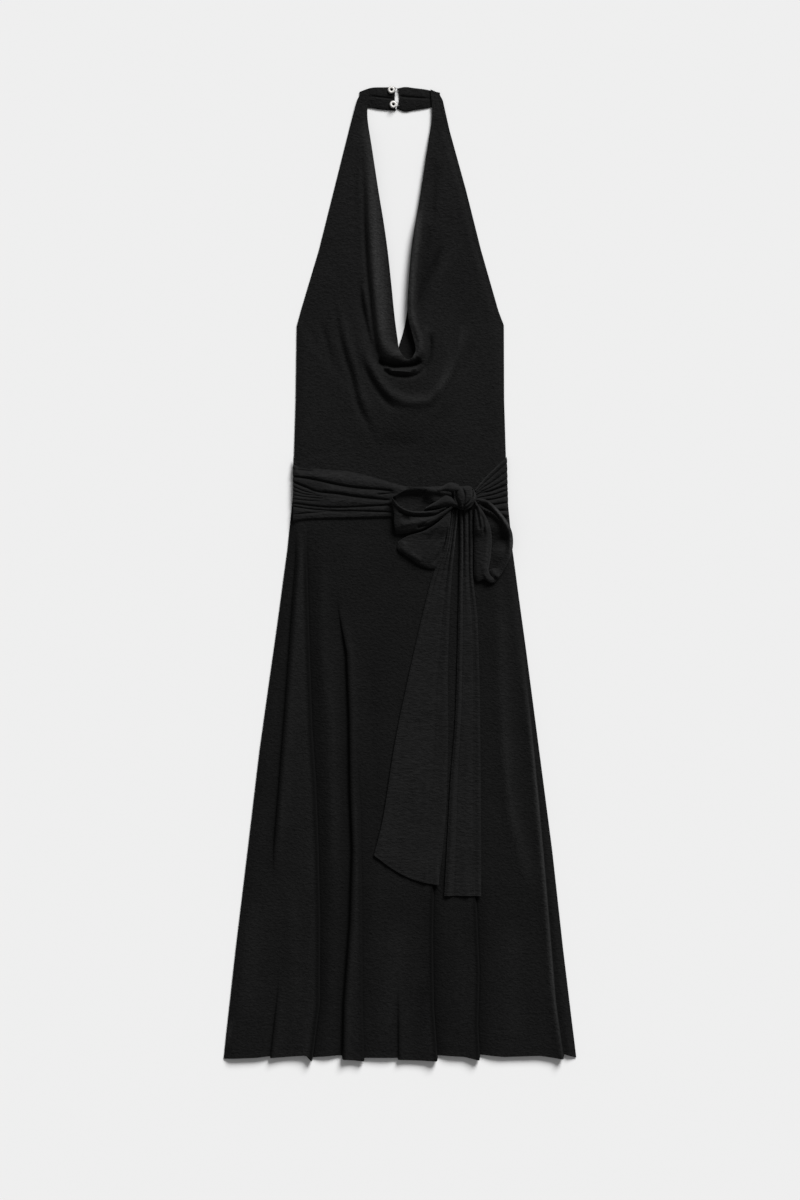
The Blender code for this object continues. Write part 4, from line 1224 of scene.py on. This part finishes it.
LOWER_LOOP = Strip(
    ((69.1, 87.5), (53.3, 71.1), (33.8, 58.9), (11.8, 52.3), (-1.6, 44.3)),
    ((70.8, 85.8), (68.4, 65), (63, 43.1), (56.9, 23.5), (50.8, 5.7)),
)
RIGHT_LOOP_INNER = ((103, 96), (102, 70), (101.4, 40), (101.4, -3))
BOW_LOOPS = (
    BowLoop(
        "bow_left_upper", "bow_loop_left_upper",
        Strip(((77.7, 113.8), (60.6, 114.8), (44.7, 117.2), (26.4, 118.2), (6.9, 115), (-11.4, 105.3)),
              ((72, 98), (58, 78), (36, 62), (12, 56), (-5.5, 55.4))),
        Strip(((72.8, 96.8), (58.2, 89.4), (36.2, 85.5), (14.2, 86.5), (-0.4, 93.1), (-11.4, 105.3)),
              ((71, 88), (57, 76), (34, 62), (12, 56), (-5.5, 55.4))),
        ((-11.4, 105.3), (-9.7, 94.3), (-7.7, 82.1), (-7.7, 68.7), (-4.8, 54.8)),
        8.0, 1.1,
        (
            Fold(((-10.2, 107), (-0.4, 113.3), (16.7, 116.8), (36.2, 116.3), (53.3, 113.3),
                 (72.8, 109)), 5.5, 9, 0.05),
            Fold(((37.4, 113.8), (44, 106.5), (50.8, 101.6), (63, 101.6)), 8, 6, 0.1),
        ),
        (
            Fold(((-10.6, 104.1), (-1.6, 92.4), (13, 85), (31.3, 83.1), (50.8, 85), (65.5, 90.7)),
                 2.2, 2.6, 0.05),
            Fold(((-2.8, 86.5), (11.8, 80.6), (28.9, 78.7), (48.4, 79.7), (63, 86.5)), 1.9, -3.2, 0.1),
            Fold(((24, 63.1), (38.6, 68.7), (53.3, 76), (65.5, 86.5)), 2, -4, 0.1),
            Fold(((2, 67.5), (19.1, 69.9), (38.6, 73.6), (55.7, 81.6)), 4, 2.2, 0.1),
            Fold(((3.3, 79.7), (8.1, 76.7), (14.2, 75.3)), 4, -3, 0.2),
        ),
    ),
    BowLoop(
        "bow_left_lower", "bow_loop_left_lower",
        LOWER_LOOP, LOWER_LOOP,
        ((-1.6, 44.3), (-2.4, 32.8), (11.3, 23.1), (25.5, 12.3), (38.6, 7.2), (50.8, 5.7)),
        10.0, 0.0, (),
        (
            Fold(((66, 65), (62.6, 43.1), (54.5, 26), (44.5, 12.8)), 2.2, -3.4, 0.25),
            Fold(((58.2, 69.9), (43.5, 50.4), (31.3, 35.8)), 3, -1.2, 0.3),
            Fold(((6.9, 44.3), (5.7, 34.5), (16.7, 26), (31.3, 17.5)), 4.5, 2, 0.1),
        ),
        0.2,
    ),
    BowLoop(
        "bow_right", "bow_loop_right",
        Strip(RIGHT_LOOP_INNER, ((103.3, 102.8), (116.7, 101.1), (128.9, 93.1), (139.9, 80.9),
              (148.9, 67.5), (154.1, 52.8), (154.3, 35.8), (150.1, 19.9), (142.3, 4), (135, -6.2))),
        Strip(RIGHT_LOOP_INNER, ((103.3, 101.6), (111.8, 89.4), (119.6, 76), (125, 61.4), (126.5, 46.7),
              (125.7, 30.9), (124, 16.2), (122.1, 4), (126.5, -5.2), (135, -6.2))),
        ((101.3, -3.3), (107, -11.1), (116.7, -8.2), (124, -12.6), (130.9, -12.1), (135.8, -5.2)),
        12.5, 0.0,
        (
            Fold(((107, 99.7), (117.9, 98.7), (127.9, 91.4), (138.2, 79.7), (147, 66.2), (151.9, 51.6),
                 (151.9, 35.8), (148, 21.1), (139.9, 5.2), (133.3, -4.5)), 4, 8, 0.02),
            Fold(((105.7, 95.5), (116.7, 88.2), (128.9, 82.1), (138.7, 73.6), (148, 62.1)),
                 3.2, 5, 0.1),
            Fold(((139.9, 55.3), (138.2, 35.8), (136.2, 21.1), (133.8, 6.5)), 12, 5, 0.5),
            Fold(((111.8, 93.8), (124, 88.2), (135.3, 78.5), (144, 67.5)), 1.8, -4, 0.1),
            Fold(((126, 6.5), (129.4, -0.4), (132.6, -7.2)), 5, 5, 0.2),
        ),
        (
            Fold(((105, 91.9), (107.9, 77.2), (110.4, 60.2)), 2, -3.5, 0.1),
            Fold(((111.8, 82.1), (114.8, 69.9), (115.7, 55.3)), 2, -2.5, 0.1),
            Fold(((117.9, 67.5), (120.4, 45.5), (118.7, 21.1), (116.7, 4)), 3.5, 1.6, 0.1),
        ),
        0.4,
        # Painted highlight along the right loop's rim.
        (
            Fold(((120.4, 97.2), (127.9, 91.4), (138.2, 79.7), (147, 66.2), (151.9, 51.6),
                 (152.3, 35.8), (150.1, 23.5)), 1.3, 0.9, 0.25),
        ),
    ),
)
BOW_LEAVES = (
    Leaf("bow_top_roll", Strip(((44, 113.8), (53.3, 111.4), (64.3, 110.9), (76.5, 108)), ((43, 118.2),
         (55.7, 117.2), (69.1, 124.1), (81.3, 121.2))), 2, 9),
    Leaf("bow_tongue", Strip(((35.7, 88.5), (50.8, 90.4), (65.5, 90.4), (78.2, 92.4)), ((35.7, 89.4),
         (50.8, 98.7), (64.3, 108), (78.2, 97.2))), 3, 9.5),
    Leaf("bow_inner_pleat", Strip(((28.9, 63.1), (44, 68.9), (59.4, 78.5), (72.3, 89.9)), ((28.9, 67.5),
         (42.3, 75.8), (58.2, 84.5), (71.6, 92.8))), 2, 7.5),
)


@dataclass
class Knot:
    """The knot: one rounded solid with the creases of its wrapped cloth."""

    centre: tuple[float, float] = (88.6, 104.4)
    size: tuple[float, float, float] = (31.0, 33.0, 24.0)
    creases: tuple[Fold, ...] = (
        Fold(((105, 116.3), (103.5, 104.1), (97.7, 94.3), (87.4, 88.9)), 1.6, -5, 0.05),
        Fold(((99.6, 115.8), (99.6, 105.3), (94.3, 97.2), (87.4, 91.9)), 1.5, -4.2, 0.05),
        Fold(((77.7, 113.8), (77.2, 104.1), (80.6, 96.8), (82.6, 89.4)), 1.9, -5, 0.05),
        Fold(((85, 118.7), (88.9, 109), (88.4, 99.2), (85, 91.9)), 1.5, -2.6, 0.2),
        Fold(((102.1, 113.8), (101.6, 104.1), (96, 95.8), (87.4, 90.7)), 3, 1.5, 0.05),
    )

    def build(self, crepe: bpy.types.Material) -> bpy.types.Object:
        """Build the knot and return it."""
        bpy.ops.object.select_all(action="DESELECT")
        bpy.ops.mesh.primitive_uv_sphere_add(
            segments=128, ring_count=90, radius=1.0, location=(0.0, 0.0, 0.0)
        )
        piece = bpy.context.object
        piece.name = "bow_centre_knot"
        way = points_of(piece)
        square = (np.abs(way) ** 2.5).sum(axis=1) ** (-1.0 / 2.5)
        point = way * square[:, None]
        angle = np.arctan2(point[:, 1], point[:, 0])
        lump = 1.0 + 0.05 * np.sin(3.0 * angle + 0.6) + 0.04 * np.sin(5.0 * angle + 2.0)
        x = self.centre[0] + point[:, 0] * lump * self.size[0] / 2.0
        y = self.centre[1] + point[:, 1] * lump * self.size[1] / 2.0
        upper = ramp(point[:, 2], -0.1, 0.5)
        z = TRIM_BASE + (np.maximum(point[:, 2], -0.8) + 0.8) * self.size[2] / 1.8
        z = z + upper * (folds_at(self.creases, x, y) + 0.35 * crinkle(x, y, 8.0, 5.0))
        move_points(piece, x, y, z)
        return finish_piece(piece, crepe, ("bow_knot",))


@dataclass
class Tail:
    """A tail of the sash, laid on the skirt's points and pleated from the knot."""

    name: str
    node: str
    strip: Strip
    ribs: tuple[Rib, ...]
    point: float
    height: float = 4.5
    length: float = 520.0
    seam_inset: float = 7.0

    def build(self, skirt: Skirt, crepe: bpy.types.Material) -> bpy.types.Object:
        """Build the tail on the skirt and return it."""

        def place(u: Array, v: Array) -> tuple[Array, Array, Array]:
            """Return the underside of the tail."""
            down = 1.0 - v
            x, y = self.strip.point(down, u)
            y = y - self.point * np.sin(np.pi * u) * ramp(down, 0.8, 1.0)
            near = ramp(v, 0.55, 1.0)
            total = np.zeros(u.shape)
            for rib in self.ribs:
                total += rib.rise(down, u) * mix(rib.far, 1.0, near)
            pleats = self.height * np.clip(total, -0.4, 1.0) * mix(0.7, 1.15, near)
            waves = 0.42 * crinkle(x, y, 13.0, 4.2)
            seam = 0.3 * bell((1.0 - down) * self.length - self.seam_inset, 1.4)
            bed = FRONT_BASE + SHELL + 0.3 + skirt.cover(x, y)
            return x, y, bed + np.maximum(pleats + 0.5, 0.0) + waves - seam + SHELL_INSET

        piece = cloth(self.name, 76, 230, place)
        return finish_piece(piece, crepe, (self.node,))


TAILS = (
    Tail(
        "sash_tail_left", "tail_left",
        Strip(((70, 87.6), (62.5, 39), (46, -3), (33, -51.5), (10.3, -151.8), (-6.2, -232.9),
              (-22, -333), (-35, -386)), ((80.5, 87.6), (75, 39), (71, -10), (68.4, -60), (66, -139),
              (66.5, -230), (63.3, -333), (53.5, -426.6))),
        (Rib(0.07, 0.05, 0.04, 0.05, 0.8, 0.35), Rib(0.30, 0.22, 0.16, 0.09, 1.0, 0.1),
         Rib(0.57, 0.50, 0.46, 0.06, 0.7, 0.12), Rib(0.86, 0.92, 0.96, 0.08, 1, 0.35),
         Rib(0.73, 0.73, 0.72, 0.03, -0.7, 0.6), Rib(0.18, 0.13, 0.11, 0.025, -0.5, 0.1)),
        9.0,
    ),
    Tail(
        "sash_tail_right", "tail_right",
        Strip(((82.8, 87.6), (83, 39), (82, -10), (80, -100), (76.8, -200), (70.5, -280), (66, -362),
              (61.6, -441.7)), ((100, 87.6), (100, 39), (100.4, -4), (106.5, -60), (109.2, -139.5),
              (110.6, -220.5), (111.5, -341), (112, -441.7))),
        (Rib(0.10, 0.12, 0.10, 0.08, 0.9, 0.8), Rib(0.45, 0.56, 0.55, 0.12, 1.0, 0.1),
         Rib(0.86, 0.93, 0.95, 0.08, 0.8, 0.45), Rib(0.70, 0.74, 0.76, 0.03, -0.4, 0.2),
         Rib(0.24, 0.25, 0.25, 0.03, -0.5, 0.3)),
        0.0,
    ),
)


# The studio

@dataclass(frozen=True)
class Sun:
    """A soft sun: its strength, its spread and height in degrees, and its turn from the photo's top."""

    name: str
    strength: float
    spread: float
    elevation: float
    turn: float

    def build(self) -> None:
        """Add the light."""
        bpy.ops.object.select_all(action="DESELECT")
        tilt = math.radians(90.0 - self.elevation)
        bpy.ops.object.light_add(type="SUN", rotation=(-tilt, 0.0, -math.radians(self.turn)))
        light = bpy.context.object
        light.name = self.name
        light.data.energy = self.strength
        light.data.angle = math.radians(self.spread)


@dataclass
class Studio:
    """The pale surface, the soft light and the camera straight above the dress."""

    floor_size: float = 14.0
    floor_drop: float = 0.0004
    lens: float = 85.0
    sensor: float = 36.0
    frame_height: float = 1.649
    aim: tuple[float, float] = (0.0007, -0.036)
    suns: tuple[Sun, ...] = (Sun("key_window", 5.1, 26.0, 31.0, 24.0),)
    ambient: float = 0.24

    def build(self) -> None:
        """Make the floor, the lights and the camera."""
        bpy.ops.object.select_all(action="DESELECT")
        bpy.ops.mesh.primitive_plane_add(size=self.floor_size, location=(0.0, 0.0, -self.floor_drop))
        floor = bpy.context.object
        floor.name = "pale_surface"
        floor.data.materials.append(Paper("pale_paper", grey(0.80)).make())
        world = bpy.data.worlds.new("soft_room")
        world.use_nodes = True
        sky = world.node_tree.nodes["Background"]
        sky.inputs["Color"].default_value = grey(1.0)
        sky.inputs["Strength"].default_value = self.ambient
        bpy.context.scene.world = world
        for sun in self.suns:
            sun.build()
        height = self.frame_height * self.lens / self.sensor
        bpy.ops.object.select_all(action="DESELECT")
        bpy.ops.object.camera_add(location=(self.aim[0], self.aim[1], height), rotation=(0.0, 0.0, 0.0))
        camera = bpy.context.object
        camera.name = "camera_above"
        camera.data.lens = self.lens
        camera.data.sensor_width = self.sensor
        camera.data.clip_end = 50.0
        bpy.context.scene.camera = camera
        bpy.context.scene.view_settings.view_transform = "Standard"


def main() -> None:
    """Build the dress and the studio round the frame."""
    logging.basicConfig(level=logging.INFO, format="%(name)s: %(message)s")
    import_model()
    crepe = Crepe("black_crepe", grey(0.0011), grey(0.0082), 2.0).make()
    inner = Crepe("facing_crepe", grey(0.0014), grey(0.0058, 0.0001), 1.2).make()
    skirt_crepe = Crepe("skirt_crepe", grey(0.0009), grey(0.0064), 1.9, sheen=0.006).make()
    sash_crepe = Crepe("sash_crepe", grey(0.0022), grey(0.0102, 0.0001), 2.0, 0.42).make()
    pearl = Pearl("pearl_plastic", (0.62, 0.60, 0.57, 1.0), (0.85, 0.84, 0.82, 1.0)).make()
    twist = Twist("loop_thread", grey(0.10), (0.30, 0.29, 0.28, 1.0)).make()
    made = Bodice().build(crepe, inner)
    skirt = Skirt()
    made += skirt.build(skirt_crepe)
    made += Neckband().build(crepe, pearl, twist)
    made += Sash().build(sash_crepe)
    made += [loop.build(sash_crepe) for loop in BOW_LOOPS]
    made += [leaf.build(sash_crepe) for leaf in BOW_LEAVES]
    Knot().build(sash_crepe)
    made += [tail.build(skirt, sash_crepe) for tail in TAILS]
    Studio().build()


if __name__ == "__main__":
    main()
